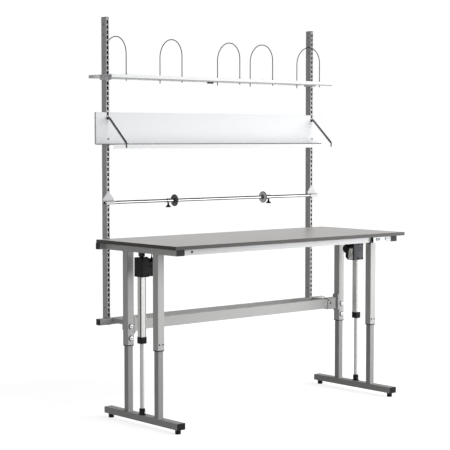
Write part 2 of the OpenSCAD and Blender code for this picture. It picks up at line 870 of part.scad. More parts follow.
module divider_shelf() {
    x = upright_x + up_over;
    y0 = up_back - up_d;
    color("#e6e7e9") place() difference() {
        union() {
            block([-x, y0, up_z - sheet_t], [x, up_back, up_z]);
            block([-x, y0, up_z - up_lip], [x, y0 + sheet_t, up_z]);
            block([-x, up_back - sheet_t, up_z - up_back_lip], [x, up_back, up_z]);
        }
        for (s = [-1, 1])
            block([s * upright_x - upright_w / 2 - gap, upright_y - gap, up_z - sheet_t - cut],
                  [s * upright_x + upright_w / 2 + gap, upright_y + upright_d + gap, up_z + cut]);
        for (share = div_shares, y = [-1, 1])
            rod_z([share * upright_x, up_back - up_d / 2 + y * div_w / 2, up_z - sheet_t - cut],
                  wire_d + 2 * gap, sheet_t + 2 * cut);
    }
}

// Two cheeks beside each upright, joined by a web with tongues in its slots
module divider_shelf_brackets() {
    z1 = up_z - sheet_t;
    z0 = up_z - up_lip - clamp_drop;
    tongue_z = slot_z0 + clamp_slot * slot_pitch;
    color("#8f8a92") place() both() {
        for (s = [-1, 1])
            translate([upright_x + s * (upright_w + clamp_t) / 2, upright_y, 0])
                block([-clamp_t / 2, -clamp_before, z0], [clamp_t / 2, upright_d + clamp_after, z1]);
        block([upright_x - upright_w / 2 - clamp_t / 2, upright_y - clamp_t, z0],
              [upright_x + upright_w / 2 + clamp_t / 2, upright_y, z1]);
        block([upright_x - tongue_w / 2, upright_y - clamp_t / 2, tongue_z - tongue_h / 2],
              [upright_x + tongue_w / 2, upright_y + tongue_l, tongue_z + tongue_h / 2]);
    }
}

// Bent wire arch that stands in two holes of the shelf
module divider(i) {
    r = wire_d / 2;
    rise = div_h - r - div_r;
    flat = div_w / 2 - div_r;
    color("#8a8b8d") place()
        translate([div_shares[i] * upright_x, up_back - up_d / 2, up_z + gap]) {
            for (s = [-1, 1]) {
                rod_z([0, s * div_w / 2, -pin_l], wire_d, pin_l + rise);
                rod_z([0, s * div_w / 2, 0], div_collar_d, div_collar_h);
                translate([0, s * flat, rise]) rotate([90, 0, 90])
                    rotate([0, 0, s > 0 ? 0 : 90])
                        rotate_extrude(angle = 90) translate([div_r, 0]) circle(r = r);
            }
            rod_y([0, -flat, rise + div_r], wire_d, 2 * flat);
        }
}

// Roll holder

// Back plate on the upright, trough for the bar, tongue in a slot
module roll_brackets() {
    y1 = upright_y;
    y_in = bar_y - bar_d / 2 - 2 * gap;
    z_in = bar_z - bar_d / 2 - gap;
    tongue_z = slot_z0 + round((bar_z + roll_up / 2 - slot_z0) / slot_pitch) * slot_pitch;
    color("#d4d5d8") place() both() translate([upright_x, 0, 0]) {
        translate([0, y1, bar_z]) rotate([90, 0, 0]) linear_extrude(height = roll_t)
            polygon([[-roll_half, -roll_down], [roll_half, -roll_down], [roll_half, roll_up * 0.4],
                     [upright_w / 2, roll_up], [-upright_w / 2, roll_up], [-roll_half, roll_up * 0.4]]);
        block([-trough_half, y_in - roll_t, z_in - roll_t], [trough_half, y1 - roll_t / 2, z_in]);
        block([-trough_half, y_in - roll_t, z_in - roll_t], [trough_half, y_in, bar_z + trough_rise]);
        block([-tongue_w / 2, y1 - roll_t / 2, tongue_z - tongue_h / 2],
              [tongue_w / 2, y1 + tongue_l, tongue_z + tongue_h / 2]);
    }
}

module roll_bar() {
    color("#dcdde0") place() difference() {
        rod_x([-bar_half, bar_y, bar_z], bar_d, 2 * bar_half);
        rod_x([-bar_half - cut, bar_y, bar_z], bar_d - 2 * bar_wall, 2 * bar_half + 2 * cut);
    }
}

// Disc with the collar that slides on the bar, the collar on the side away from the middle
module roll_disc(x, s) {
    color("#77787a") place() translate([x, bar_y, bar_z]) mirror([s < 0 ? 1 : 0, 0, 0]) difference() {
        union() {
            rod_x([-disc_t, 0, 0], disc_d, disc_t);
            rod_x([-disc_t - disc_hub_t, 0, 0], disc_hub_d, disc_hub_t + disc_t);
            rod_x([-cut / 2, 0, 0], collar_d, collar_l + cut / 2);
        }
        rod_x([-disc_t - disc_hub_t - cut, 0, 0], bar_d + 2 * gap,
              disc_t + disc_hub_t + collar_l + 2 * cut);
        rod_z([thumb_off, 0, -collar_d], thumb_shank + 2 * gap, collar_d);
    }
}

// Thumb screw under the collar: shank, neck and flared grip
module thumb_screw(x, s) {
    neck = collar_d / 2 + gap;
    color("#161617") place() translate([x + s * thumb_off, bar_y, bar_z]) rotate([180, 0, 0])
        rotate_extrude()
            polygon([[0, bar_d / 2 + gap], [thumb_shank / 2, bar_d / 2 + gap], [thumb_shank / 2, neck],
                     [thumb_neck / 2, neck], [thumb_neck / 2, neck + thumb_h * 0.3],
                     [thumb_d * 0.22, neck + thumb_h * 0.55], [thumb_d * 0.36, neck + thumb_h * 0.75],
                     [thumb_d / 2, neck + thumb_h - thumb_rim], [thumb_d / 2, neck + thumb_h],
                     [0, neck + thumb_h]]);
}

// Actuators

module actuator_profiles() {
    l = gear_bot - profile_bot;
    color("#e2e3e4") place() both() translate([act_x, 0, profile_bot]) difference() {
        linear_extrude(height = l) difference() {
            round_rect(profile_w, profile_w, profile_r);
            for (a = [0 : 90 : 270]) rotate(a)
                translate([profile_w / 2, profile_r + groove_w / 2 - profile_w / 2])
                    square([2 * groove_d, groove_w], center = true);
        }
        rod_z([0, 0, -cut], profile_bore, l + 2 * cut);
    }
}

module actuator_collars() {
    color("#131314") place() both() translate([act_x, 0, guide_bot]) difference() {
        linear_extrude(height = guide_h) round_rect(guide_w, guide_w, profile_r);
        rod_z([0, 0, -cut], rod_d + 2 * gap, guide_h + 2 * cut);
    }
}

// Worm-gear housing with the moulded connector box under the motor
module gearbox_housings() {
    color("#1e1f21") place() both() translate([act_x, 0, gear_bot]) difference() {
        union() {
            linear_extrude(height = gear_h) round_rect(gear_w, gear_d, profile_r);
            translate([-gear_w / 2, motor_y + conn_d / 2, 0]) rotate([90, 0, 0])
                linear_extrude(height = conn_d)
                    polygon([[cut, cut], [cut - conn_l + conn_cut, cut], [-conn_l, conn_cut],
                             [-conn_l, conn_h], [cut, conn_h]]);
            translate([0, 0, gear_h - cut / 2]) difference() {
                linear_extrude(height = head_gap * 0.8) square([eye_w, eye_d], center = true);
                rod_x([-eye_w, 0, head_gap / 2 + cut / 2], pin_d + 2 * gap, 2 * eye_w);
            }
        }
        rod_z([0, 0, -cut], rod_d + 4 * gap, gear_bore_h + cut);
    }
}

// Motor that points to the middle of the table, with a cable gland on top
module drive_motors() {
    x0 = act_x - gear_w / 2;
    r = motor_d / 2;
    color("#19191a") place() both() {
        translate([x0, motor_y, motor_z]) rotate([0, -90, 0]) rotate_extrude()
            polygon([[0, 0], [r, 0], [r, motor_l - motor_end], [r * 0.93, motor_l - motor_end * 0.35],
                     [r * 0.78, motor_l], [0, motor_l]]);
        rod_z([x0 - gland_in, motor_y, motor_z], gland_d, r + gland_h);
    }
}

// Screw that turns in the gearbox and carries the nut of the push rod
module lead_screws() {
    color("#9a9b9d") place() both()
        rod_z([act_x, 0, screw_low], screw_d, gear_bot + gear_bore_h - screw_low);
}

// Fork under the cross beam with the pin through the eye of the gearbox
module actuator_top_brackets() {
    color("#2a2a2c") place() both() translate([act_x, 0, cross_bot]) {
        pin_z = -head_gap / 2;
        difference() {
            union() {
                block([-eye_w / 2 - gap - cheek_t, -head_d / 2, -cheek_t], [eye_w / 2 + gap, head_d / 2, 0]);
                for (s = [-1, 1])
                    translate([s * (eye_w / 2 + gap + cheek_t / 2), 0, 0])
                        block([-cheek_t / 2, -head_d / 2, pin_z - head_r], [cheek_t / 2, head_d / 2, 0]);
            }
            rod_x([-eye_w - cheek_t, 0, pin_z], pin_d + 2 * gap, 2 * eye_w + 2 * cheek_t);
        }
        rod_x([-eye_w / 2 - cheek_t - cut, 0, pin_z], pin_d, eye_w + 2 * cheek_t + 2 * cut);
    }
}

// Controls

// Box open to the underside of the worktop, with four posts for its board
module control_box() {
    color("#232325") place() translate([0, box_y, cross_top - box_h]) {
        difference() {
            block([-box_l / 2, -box_d / 2, 0], [box_l / 2, box_d / 2, box_h]);
            block([-box_l / 2 + box_wall, -box_d / 2 + box_wall, box_wall],
                  [box_l / 2 - box_wall, box_d / 2 - box_wall, box_h + cut]);
        }
        post_x = box_l / 2 - box_wall - post_d;
        post_y = box_d / 2 - box_wall - post_d;
        for (x = [-post_x, post_x], y = [-post_y, post_y])
            rod_z([x, y, box_wall - cut], post_d, board_up + cut);
    }
}

// Board of the control box with transformer and relays, and the switch board of the handset
module control_boards() {
    color("#2e6b45") place() {
        translate([0, box_y, cross_top - box_h + box_wall + board_up]) {
            block([-box_l / 2 + box_wall + gap, -box_d / 2 + box_wall + gap, 0],
                  [box_l / 2 - box_wall - gap, box_d / 2 - box_wall - gap, board_t]);
            block([box_l / 4 - trafo_w / 2, -trafo_w / 2, board_t - gap],
                  [box_l / 4 + trafo_w / 2, trafo_w / 2, board_t + trafo_h]);
            for (x = [-1, 1])
                block([-box_l / 4 + x * relay_w - relay_w / 2, -relay_w / 2, board_t - gap],
                      [-box_l / 4 + x * relay_w + relay_w / 2, relay_w / 2, board_t + relay_h]);
        }
        y1 = cross_front - hs_wall;
        block([hs_x0 + hs_wall + gap, y1 - board_t, cross_top - hs_h + hs_wall + gap],
              [hs_x1 - hs_wall - gap, y1, cross_top - hs_wall - gap]);
        for (x = btn_x)
            rod_y([hs_x0 + x, hs_front + plate_t + btn_flange_t + btn_travel + 3 * gap,
                   cross_top - hs_h / 2 + btn_up], switch_d,
                  y1 - board_t / 2 - hs_front - plate_t - btn_flange_t - btn_travel - 3 * gap);
    }
}

// Two motor cables under the worktop, and the handset's cable that loops under the front rail
module control_cables() {
    motor_x = act_x - gear_w / 2 - gland_in;
    motor_top = motor_z + motor_d / 2 + gland_h;
    box_z = cross_top - box_h / 2;
    box_end = box_l / 2;
    r = cable_d;
    color("#151516") place() {
        both() cable([
            [motor_x, motor_y, motor_top],
            [motor_x, motor_y, motor_top + r],
            [motor_x - 2 * r, motor_y, cable_z - r],
            [motor_x - 6 * r, motor_y, cable_z],
            [motor_cable_clips[2], motor_y, cable_z],
            [motor_cable_clips[1], motor_y, cable_z],
            [motor_cable_clips[0], motor_y, cable_z],
            [motor_cable_clips[0] - 8 * r, motor_y, cable_z],
            [box_end + 6 * r, motor_y, box_z + r],
            [box_end + r, motor_y, box_z],
            [box_end, motor_y, box_z]
        ]);
        hx = hs_x0;
        hy = hs_front + hs_d / 2;
        hz = cross_top - hs_h / 4;
        under = cross_top - rail_h - r;
        cable([
            [hx, hy, hz],
            [hx - r, hy, hz],
            [hx - loop_out, hy, hz - 2 * r],
            [hx - loop_out, hy + r, under + r],
            [hx - r, cross_front + r, under - r / 2],
            [hx - 2 * r, cross_front + rail_lip + 2 * r, under + r],
            [hx - 5 * r, handset_cable_y - r, cable_z - r / 2],
            [hx - 9 * r, handset_cable_y, cable_z],
            [handset_cable_clips[0] - r, handset_cable_y, cable_z],
            [handset_cable_clips[1], handset_cable_y, cable_z],
            [handset_cable_clips[2], handset_cable_y, cable_z],
            [box_end - 8 * r, handset_cable_y + 3 * r, cable_z],
            [box_end - 12 * r, (handset_cable_y + box_y - box_d / 2) / 2, cable_z],
            [box_end - 12 * r, box_y - box_d / 2 - 3 * r, box_z + r],
            [box_end - 12 * r, box_y - box_d / 2 - r, box_z],
            [box_end - 12 * r, box_y - box_d / 2, box_z]
        ]);
    }
}

// Saddle clips that hold the cables under the worktop
module cable_clips() {
    low = cable_z - cable_d / 2 - clip_wall / 2;
    color("#e9e9e6") place() {
        both() for (x = motor_cable_clips) clip(x, motor_y, low);
        for (x = handset_cable_clips) clip(x, handset_cable_y, low);
    }
}
module clip(x, y, low) {
    translate([x, y, 0]) difference() {
        block([-clip_w / 2, -cable_d / 2 - clip_wall, low], [clip_w / 2, cable_d / 2 + clip_wall, cross_top]);
        rod_x([-clip_w, 0, cable_z], cable_d + 2 * gap, 2 * clip_w);
    }
}

// Handset under the front edge, open to the front for its face plate
module handset_case() {
    color("#18181a") place() difference() {
        block([hs_x0, hs_front + plate_t, cross_top - hs_h], [hs_x1, cross_front, cross_top]);
        block([hs_x0 + hs_wall, hs_front + plate_t - cut, cross_top - hs_h + hs_wall],
              [hs_x1 - hs_wall, cross_front - hs_wall, cross_top - hs_wall]);
    }
}

module handset_faceplate() {
    color("#e4e5e6") place() difference() {
        block([hs_x0, hs_front, cross_top - hs_h], [hs_x1, hs_front + plate_t, cross_top]);
        for (x = btn_x)
            translate([hs_x0 + x, hs_front - cut, cross_top - hs_h / 2 + btn_up])
                block([-btn_w / 2 - gap, 0, -btn_h / 2 - gap],
                      [btn_w / 2 + gap, plate_t + 2 * cut, btn_h / 2 + gap]);
    }
}

// Button cap through the face plate, with a flange behind it
module button(x) {
    color("#7d7f83") place() translate([hs_x0 + x, hs_front, cross_top - hs_h / 2 + btn_up]) {
        block([-btn_w / 2, -btn_proud, -btn_h / 2], [btn_w / 2, plate_t + gap + cut / 2, btn_h / 2]);
        block([-btn_w / 2 - btn_flange, plate_t + gap, -btn_h / 2 - btn_flange],
              [btn_w / 2 + btn_flange, plate_t + gap + btn_flange_t, btn_h / 2 + btn_flange]);
    }
}

// Base of each leg frame

module base_beam(left) {
    color("#a9aaa9") place() side(left) difference() {
        tube_y(leg_x, base_front + plug_t, base_rear - plug_t, foot_h, beam_w, beam_h, beam_wall);
        for (y = [base_front + foot_inset, base_rear - foot_inset])
            rod_z([leg_x, y, foot_h - cut], stud_d + 2 * gap, beam_wall + 2 * cut);
    }
}

module inner_posts(left) {
    color("#a5a6a5") place() side(left) for (y = [leg_front, leg_rear])
        translate([leg_x, y, base_top]) tube(inner_w, inner_w, inner_wall, inner_l);
}

module base_plugs(left) {
    color("#232425") place() side(left) {
        translate([leg_x, base_front + plug_t, foot_h + beam_h / 2])
            rotate([90, 0, 0]) plug(beam_w, beam_h, beam_wall);
        translate([leg_x, base_rear - plug_t, foot_h + beam_h / 2])
            rotate([-90, 0, 0]) plug(beam_w, beam_h, beam_wall);
    }
}

// Push rod: eye, tube and the nut that the lead screw runs in
module push_rod(left) {
    color("#c9cacc") place() side(left) translate([act_x, 0, 0]) difference() {
        union() {
            rod_z([0, 0, rod_bot], rod_d, rod_top - rod_bot);
            block([-eye_w / 2, -eye_d / 2, rod_bot - eye_h], [eye_w / 2, eye_d / 2, rod_bot + cut / 2]);
        }
        rod_z([0, 0, rod_bot], rod_bore, rod_top - nut_h - rod_bot);
        rod_z([0, 0, rod_bot], screw_d + 2 * gap, rod_top - rod_bot + cut);
        rod_x([-eye_w, 0, eye_z], pin_d + 2 * gap, 2 * eye_w);
    }
}

// Fork on the base beam with the pin through the eye of the push rod
module rod_foot(left) {
    half = eye_w / 2 + gap + cheek_t;
    color("#1f1f20") place() side(left) translate([act_x, 0, base_top]) {
        block([-half, -foot_plate_d / 2, 0], [half, foot_plate_d / 2, foot_plate_t]);
        for (s = [-1, 1])
            translate([s * (eye_w / 2 + gap + cheek_t / 2), 0, 0])
                block([-cheek_t / 2, -cheek_d / 2, 0],
                      [cheek_t / 2, cheek_d / 2, eye_z - base_top + cheek_over]);
        rod_x([-half - cut, 0, eye_z - base_top], pin_d, 2 * half + 2 * cut);
    }
}

// Foot pad with its hexagon and stud
module levelling_foot(left, y) {
    color("#1b1b1c") place() side(left) translate([leg_x, y, 0]) {
        rod_z([0, 0, 0], pad_d, pad_t);
        translate([0, 0, pad_t - cut / 2])
            rotate_extrude()
                polygon([[0, 0], [pad_d / 2 - pad_t / 3, 0], [pad_top_d / 2, pad_cone], [0, pad_cone]]);
        translate([0, 0, pad_t + pad_cone - cut])
            cylinder(d = hex_w, h = hex_h, $fn = 6);
        rod_z([0, 0, pad_t], stud_d, foot_h + stud_in - pad_t);
    }
}

worktop();
worktop_edge_band();
cross_beams();
outer_legs();
leg_guide_bushes();
tube_end_plugs();
front_rail();
button_head_screws();
stretcher();
stretcher_ends();
rear_beams();
upright_arms();
leg_bolts();
uprights();
upright_bolts();
middle_shelf();
shelf_back_panel();
shelf_struts();
shelf_brackets();
divider_shelf();
divider_shelf_brackets();
roll_brackets();
actuator_profiles();
actuator_collars();
gearbox_housings();
drive_motors();
lead_screws();
actuator_top_brackets();
control_cables();
cable_clips();
control_box();
control_boards();
handset_case();
handset_faceplate();
button(btn_x[0]);  // up_button
button(btn_x[1]);  // down_button
divider(0);  // divider_1
divider(1);  // divider_2
divider(2);  // divider_3
divider(3);  // divider_4
divider(4);  // divider_5
roll_bar();
roll_disc(left_disc_x, -1);  // left_roll_disc
roll_disc(right_disc_x, 1);  // right_roll_disc
thumb_screw(left_disc_x, -1);  // left_thumb_screw
thumb_screw(right_disc_x, 1);  // right_thumb_screw
base_beam(true);  // left_base_beam
base_beam(false);  // right_base_beam
inner_posts(true);  // left_inner_posts
inner_posts(false);  // right_inner_posts
base_plugs(true);  // left_base_plugs
base_plugs(false);  // right_base_plugs
push_rod(true);  // left_push_rod
push_rod(false);  // right_push_rod
rod_foot(true);  // left_rod_foot
rod_foot(false);  // right_rod_foot
levelling_foot(true, base_front + foot_inset);  // left_front_foot
levelling_foot(true, base_rear - foot_inset);  // left_rear_foot
levelling_foot(false, base_front + foot_inset);  // right_front_foot
levelling_foot(false, base_rear - foot_inset);  // right_rear_foot
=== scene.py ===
"""Looks of a height-adjustable packing table: finishes, fine detail, light and camera.

The pieces are made round the CAD frame, in its place and size, with lengths in metres.
"""

import json
import logging
import math
from dataclasses import dataclass, replace
from enum import Enum
from typing import Callable, Iterable, Sequence

import bmesh
import bpy
from mathutils import Matrix, Vector

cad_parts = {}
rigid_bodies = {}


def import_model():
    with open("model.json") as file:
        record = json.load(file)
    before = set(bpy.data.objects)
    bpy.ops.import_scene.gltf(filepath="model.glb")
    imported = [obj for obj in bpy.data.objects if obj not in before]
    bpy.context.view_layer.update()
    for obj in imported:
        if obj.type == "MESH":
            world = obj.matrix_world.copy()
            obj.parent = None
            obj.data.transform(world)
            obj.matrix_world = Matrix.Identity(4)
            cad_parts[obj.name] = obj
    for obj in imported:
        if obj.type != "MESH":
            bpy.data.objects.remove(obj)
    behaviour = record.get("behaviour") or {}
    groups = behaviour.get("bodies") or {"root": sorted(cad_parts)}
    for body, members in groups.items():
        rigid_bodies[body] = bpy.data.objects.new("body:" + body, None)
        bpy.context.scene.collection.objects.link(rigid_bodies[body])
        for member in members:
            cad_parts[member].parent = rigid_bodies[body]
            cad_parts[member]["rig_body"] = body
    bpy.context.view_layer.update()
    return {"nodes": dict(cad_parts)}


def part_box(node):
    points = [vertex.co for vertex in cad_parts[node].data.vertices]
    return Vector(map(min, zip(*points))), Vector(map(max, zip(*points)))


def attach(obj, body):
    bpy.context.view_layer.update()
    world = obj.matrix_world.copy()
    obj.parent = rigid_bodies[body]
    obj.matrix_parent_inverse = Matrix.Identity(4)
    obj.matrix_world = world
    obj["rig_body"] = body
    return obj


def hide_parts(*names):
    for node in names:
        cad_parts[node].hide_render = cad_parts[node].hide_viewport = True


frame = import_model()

LOG = logging.getLogger("packing_table")

Point = tuple[float, float, float]
Colour = tuple[float, float, float]
Pair = tuple[float, float]
Outline = Sequence[Pair]

MERGE_DISTANCE = 2e-6
FLAT_ANGLE = math.radians(0.4)
SMOOTH_ANGLE = math.radians(38)
BEVEL_ANGLE = math.radians(40)
LINE_SEGMENTS = 3
SHADING_WEIGHT = 80
RING_PITCH = 0.0035
CORNER_STEPS = 3
CLOUD_DETAIL = 3.0
GRAIN_DETAIL = 2.0
TINT_STOPS = (0.32, 0.68)
GLOSS_RANGE = (0.3, 0.7)
LEAST_ROUGHNESS = 0.02
WHITE = (1.0, 1.0, 1.0, 1.0)
SIDES = (("left", -1), ("right", 1))


class Toward(Enum):
    """Direction in which a turned or extruded form points."""

    RIGHT = (1.0, 0.0, 0.0)
    LEFT = (-1.0, 0.0, 0.0)
    BACK = (0.0, 1.0, 0.0)
    FRONT = (0.0, -1.0, 0.0)
    UP = (0.0, 0.0, 1.0)
    DOWN = (0.0, 0.0, -1.0)

    def turn(self) -> Matrix:
        """Rotation that takes the local Z axis to this direction."""
        return Vector((0.0, 0.0, 1.0)).rotation_difference(Vector(self.value)).to_matrix().to_4x4()

    def place(self, centre: Point) -> Matrix:
        """Matrix that turns a form to this direction and sets its origin at a point."""
        return Matrix.Translation(centre) @ self.turn()


class Rounding(Enum):
    """Width and segments of the rounding of a piece's sharp edges."""

    NONE = (0.0, 1)
    HAIR = (0.0002, 1)
    GAP_STRIP = (0.0002, 2)
    TUBE = (0.0003, 1)
    ROD = (0.0003, 2)
    SHEET = (0.0004, 2)
    SOLID = (0.0006, 2)
    BAND = (0.0006, 3)
    CASE = (0.0008, 2)
    PLUG = (0.0010, 3)
    BOX = (0.0015, 3)
    CAST = (0.0030, 3)


# Finishes


def empty_tree(owner: bpy.types.Material | bpy.types.World) -> bpy.types.NodeTree:
    """Switches the nodes of a material or world on, and empties its tree.

    Args:
        owner: the material or world.

    Returns:
        Its node tree.
    """
    owner.use_nodes = True
    owner.node_tree.nodes.clear()
    return owner.node_tree


def add_node(tree: bpy.types.NodeTree, kind: str,
             feeds: dict[str | int, object] | None = None) -> bpy.types.Node:
    """Adds a node and feeds its inputs.

    Args:
        tree: node tree that it goes into.
        kind: type of the node, without the prefix of all shader nodes.
        feeds: for each input the socket to link, or else the value to set.

    Returns:
        The node.
    """
    node = tree.nodes.new("ShaderNode" + kind)
    for name, feed in (feeds or {}).items():
        if isinstance(feed, bpy.types.NodeSocket):
            tree.links.new(feed, node.inputs[name])
        else:
            node.inputs[name].default_value = feed
    return node


def add_math(tree: bpy.types.NodeTree, operation: str, first: bpy.types.NodeSocket,
             second: bpy.types.NodeSocket | float) -> bpy.types.NodeSocket:
    """Adds a node that works out a value.

    Args:
        tree: node tree that it goes into.
        operation: what the node does with its two inputs.
        first: socket for the first input.
        second: socket or value for the second input.

    Returns:
        The socket with the result.
    """
    node = add_node(tree, "Math", {0: first, 1: second})
    node.operation = operation
    return node.outputs[0]


def linear(shade: float) -> float:
    """One sRGB channel from 0 to 255 as a scene-linear value."""
    share = shade / 255.0
    return share / 12.92 if share <= 0.04045 else ((share + 0.055) / 1.055) ** 2.4


@dataclass(frozen=True)
class Finish:
    """Surface of a material: its colour, gloss and fine grain.

    Args:
        name: name of the Blender material.
        slot: the record's material slot that the finish belongs to; not used.
        colour: sRGB colour, 0 to 255 for each channel.
        roughness: mean roughness.
        metallic: share of bare metal.
        mottle: how far the colour drifts to either side, as a share.
        cloud: scale of the slow colour drift, per metre.
        grain: scale of the fine grain, per metre.
        bump: strength of the fine relief.
        relief: height of the fine relief in metres.
        brushed: stretch of the grain along X, Y and Z; 1 is not stretched.
        grain_share: share of the fine grain in the colour drift.
        gloss_drift: how far the roughness drifts to either side.
        specular: level of the gloss; 0.5 is that of plain plastic.
    """

    name: str
    slot: str
    colour: Colour
    roughness: float
    metallic: float = 0.0
    mottle: float = 0.04
    cloud: float = 4.0
    grain: float = 900.0
    bump: float = 0.10
    relief: float = 0.00012
    brushed: Point = (1.0, 1.0, 1.0)
    grain_share: float = 0.5
    gloss_drift: float = 0.05
    specular: float = 0.5

    def material(self) -> bpy.types.Material:
        """Makes the finish as a procedural material, or finds it.

        Returns:
            The material, shared by all pieces of this finish.
        """
        found = bpy.data.materials.get("finish_" + self.name)
        if found:
            return found
        material = bpy.data.materials.new("finish_" + self.name)
        tree = empty_tree(material)
        place = add_node(tree, "TexCoord").outputs["Object"]
        stretched = add_node(tree, "Mapping", {"Vector": place, "Scale": self.brushed})
        clouds, grains = (
            add_node(tree, "TexNoise", {"Vector": at, "Scale": scale,
                                        "Detail": detail}).outputs["Fac"]
            for at, scale, detail in ((place, self.cloud, CLOUD_DETAIL),
                                      (stretched.outputs["Vector"], self.grain, GRAIN_DETAIL)))
        drift = add_node(tree, "Mix", {"Factor": self.grain_share, "A": clouds,
                                       "B": grains}).outputs["Result"]
        gloss = add_node(tree, "MapRange", {
            "Value": drift, "From Min": GLOSS_RANGE[0], "From Max": GLOSS_RANGE[1],
            "To Min": max(self.roughness - self.gloss_drift, LEAST_ROUGHNESS),
            "To Max": min(self.roughness + self.gloss_drift, 1.0)})
        bump = add_node(tree, "Bump", {"Strength": self.bump, "Distance": self.relief,
                                       "Height": grains})
        surface = add_node(tree, "BsdfPrincipled", {
            "Base Color": self._tint(tree, drift), "Metallic": self.metallic,
            "Specular IOR Level": self.specular, "Roughness": gloss.outputs["Result"],
            "Normal": bump.outputs["Normal"]})
        add_node(tree, "OutputMaterial", {"Surface": surface.outputs["BSDF"]})
        return material

    def _tint(self, tree: bpy.types.NodeTree, drift: bpy.types.NodeSocket) -> bpy.types.NodeSocket:
        """Adds the ramp from the darker to the lighter shade of the colour.

        Args:
            tree: node tree of the material.
            drift: socket with the value that drives the shade.

        Returns:
            The socket with the colour.
        """
        ramp = add_node(tree, "ValToRGB", {"Fac": drift})
        shades = [linear(c) for c in self.colour]
        for stop, place, sign in zip(ramp.color_ramp.elements, TINT_STOPS, (-1, 1)):
            stop.position = place
            stop.color = (*[min(c * (1 + sign * self.mottle), 1.0) for c in shades], 1.0)
        return ramp.outputs["Color"]


LAMINATE = Finish("laminate", "laminate", (197, 194, 191), 0.40, mottle=0.012, cloud=5,
                  grain=1400, bump=0.03, relief=0.00003, grain_share=0.10, gloss_drift=0.01,
                  specular=0.40)
EDGE_BAND = Finish("edge_band", "edge_band", (36, 33, 31), 0.36, mottle=0.05, grain=1600,
                   specular=0.25)
FRAME_COAT = Finish("frame_coat", "frame_grey", (167, 167, 166), 0.40, mottle=0.03, grain=1100,
                    bump=0.12, relief=0.00008)
BASE_COAT = replace(FRAME_COAT, name="base_coat", colour=(132, 131, 130))
POST_COAT = replace(FRAME_COAT, name="post_coat", colour=(134, 133, 133), roughness=0.44)
UPRIGHT_COAT = replace(FRAME_COAT, name="upright_coat", colour=(137, 137, 138), roughness=0.30,
                       specular=0.9)
# Near-black for the inside of the uprights: painted shade that makes the slots look dark.
INSIDE_PAINTED_SHADE = Finish("inside_painted_shade", "frame_grey", (10, 10, 11), 0.90, mottle=0.10, grain=500,
                     specular=0.1)
WELD = Finish("weld", "frame_grey", (156, 157, 156), 0.45, mottle=0.10, grain=420, bump=0.35,
              relief=0.0003)
WHITE_COAT = Finish("white_coat", "white_steel", (213, 214, 216), 0.40, mottle=0.012, grain=1200,
                    bump=0.06, relief=0.00005, specular=0.3)
# Grey for a strip along the lower edge of the upper shelf's lip: painted shade.
LIP_SHADE = Finish("lip_shade", "white_steel", (142, 142, 146), 0.45, mottle=0.03, grain=1200)
UPPER_COAT = Finish("upper_coat", "white_steel", (219, 220, 221), 0.36, mottle=0.012, grain=1200,
                    bump=0.10, relief=0.00006)
RAIL_COAT = Finish("rail_coat", "pale_steel", (184, 185, 187), 0.36, mottle=0.02, grain=1200,
                   bump=0.12, relief=0.00008)
DARK_STEEL = Finish("dark_steel", "dark_steel", (64, 62, 66), 0.42, metallic=0.1, mottle=0.12,
                    grain=700)
STRUT_STEEL = Finish("strut_steel", "dark_steel", (146, 145, 149), 0.24, metallic=0.9, mottle=0.06,
                     grain=900)
DISC_PALE = Finish("disc_pale", "disc_grey", (230, 230, 231), 0.55, mottle=0.12, cloud=60,
                   grain=520, bump=0.15, relief=0.0002)
DISC_PLASTIC = Finish("disc_plastic", "disc_grey", (92, 92, 94), 0.60, mottle=0.30, cloud=60,
                      grain=520, bump=0.25, relief=0.0002, grain_share=0.75)
ANODISED = Finish("anodised", "anodised", (197, 197, 195), 0.38, metallic=0.30, mottle=0.02,
                  grain=1500, brushed=(1.0, 1.0, 0.03), bump=0.08, relief=0.00004)
# Dark grey for the profiles' grooves: painted shade in the recesses.
GROOVE_SHADE = Finish("groove", "anodised", (74, 73, 70), 0.60, mottle=0.04, grain=1500, specular=0.2)
ROD_STEEL = Finish("rod_steel", "rod_steel", (203, 203, 202), 0.34, metallic=0.25, mottle=0.02,
                   grain=1800, brushed=(1.0, 1.0, 0.05), bump=0.02, relief=0.00002)
ZINC = Finish("zinc", "zinc", (168, 166, 172), 0.42, metallic=0.30, mottle=0.10, cloud=45,
              grain=600, bump=0.10)
BRACKET_ZINC = replace(ZINC, name="bracket_zinc", colour=(218, 214, 219), roughness=0.40,
                       metallic=0.0, mottle=0.05)
BRACKET_COAT = Finish("bracket_coat", "white_steel", (178, 179, 181), 0.36, mottle=0.03, grain=1200,
                      bump=0.10, relief=0.00006)
CHROME = Finish("chrome", "bright_metal", (163, 164, 166), 0.12, metallic=1.0, mottle=0.02,
                cloud=25, grain=1500, brushed=(0.02, 1.0, 1.0), bump=0.02, relief=0.00002,
                gloss_drift=0.03)
BOLT_BRIGHT = Finish("bolt_bright", "bright_metal", (226, 226, 228), 0.30, metallic=0.15,
                     mottle=0.03, grain=1500, bump=0.04)
DARK_WIRE = Finish("dark_wire", "bright_metal", (52, 52, 54), 0.32, metallic=0.35, mottle=0.06,
                   grain=900, bump=0.04, specular=0.3)
SCREW_BLACK = Finish("screw_black", "dark_screws", (20, 20, 21), 0.50, mottle=0.08,
                     specular=0.25)
BLACK_MOULDED = Finish("black_moulded", "black_plastic", (11, 11, 12), 0.50, mottle=0.10,
                       grain=1300, bump=0.22, relief=0.00010, specular=0.12)
SLATE_MOULDED = Finish("slate_moulded", "grey_plastic", (46, 49, 54), 0.50, mottle=0.14, cloud=60,
                       grain=1300, bump=0.22, relief=0.00010, specular=0.3)
COVER_GREY = Finish("cover_grey", "grey_plastic", (182, 182, 178), 0.45, mottle=0.06, grain=1300,
                    specular=0.3)
PLUG_BLACK = Finish("plug_black", "black_plastic", (16, 16, 17), 0.55, mottle=0.08, grain=1300,
                    bump=0.20, specular=0.15)
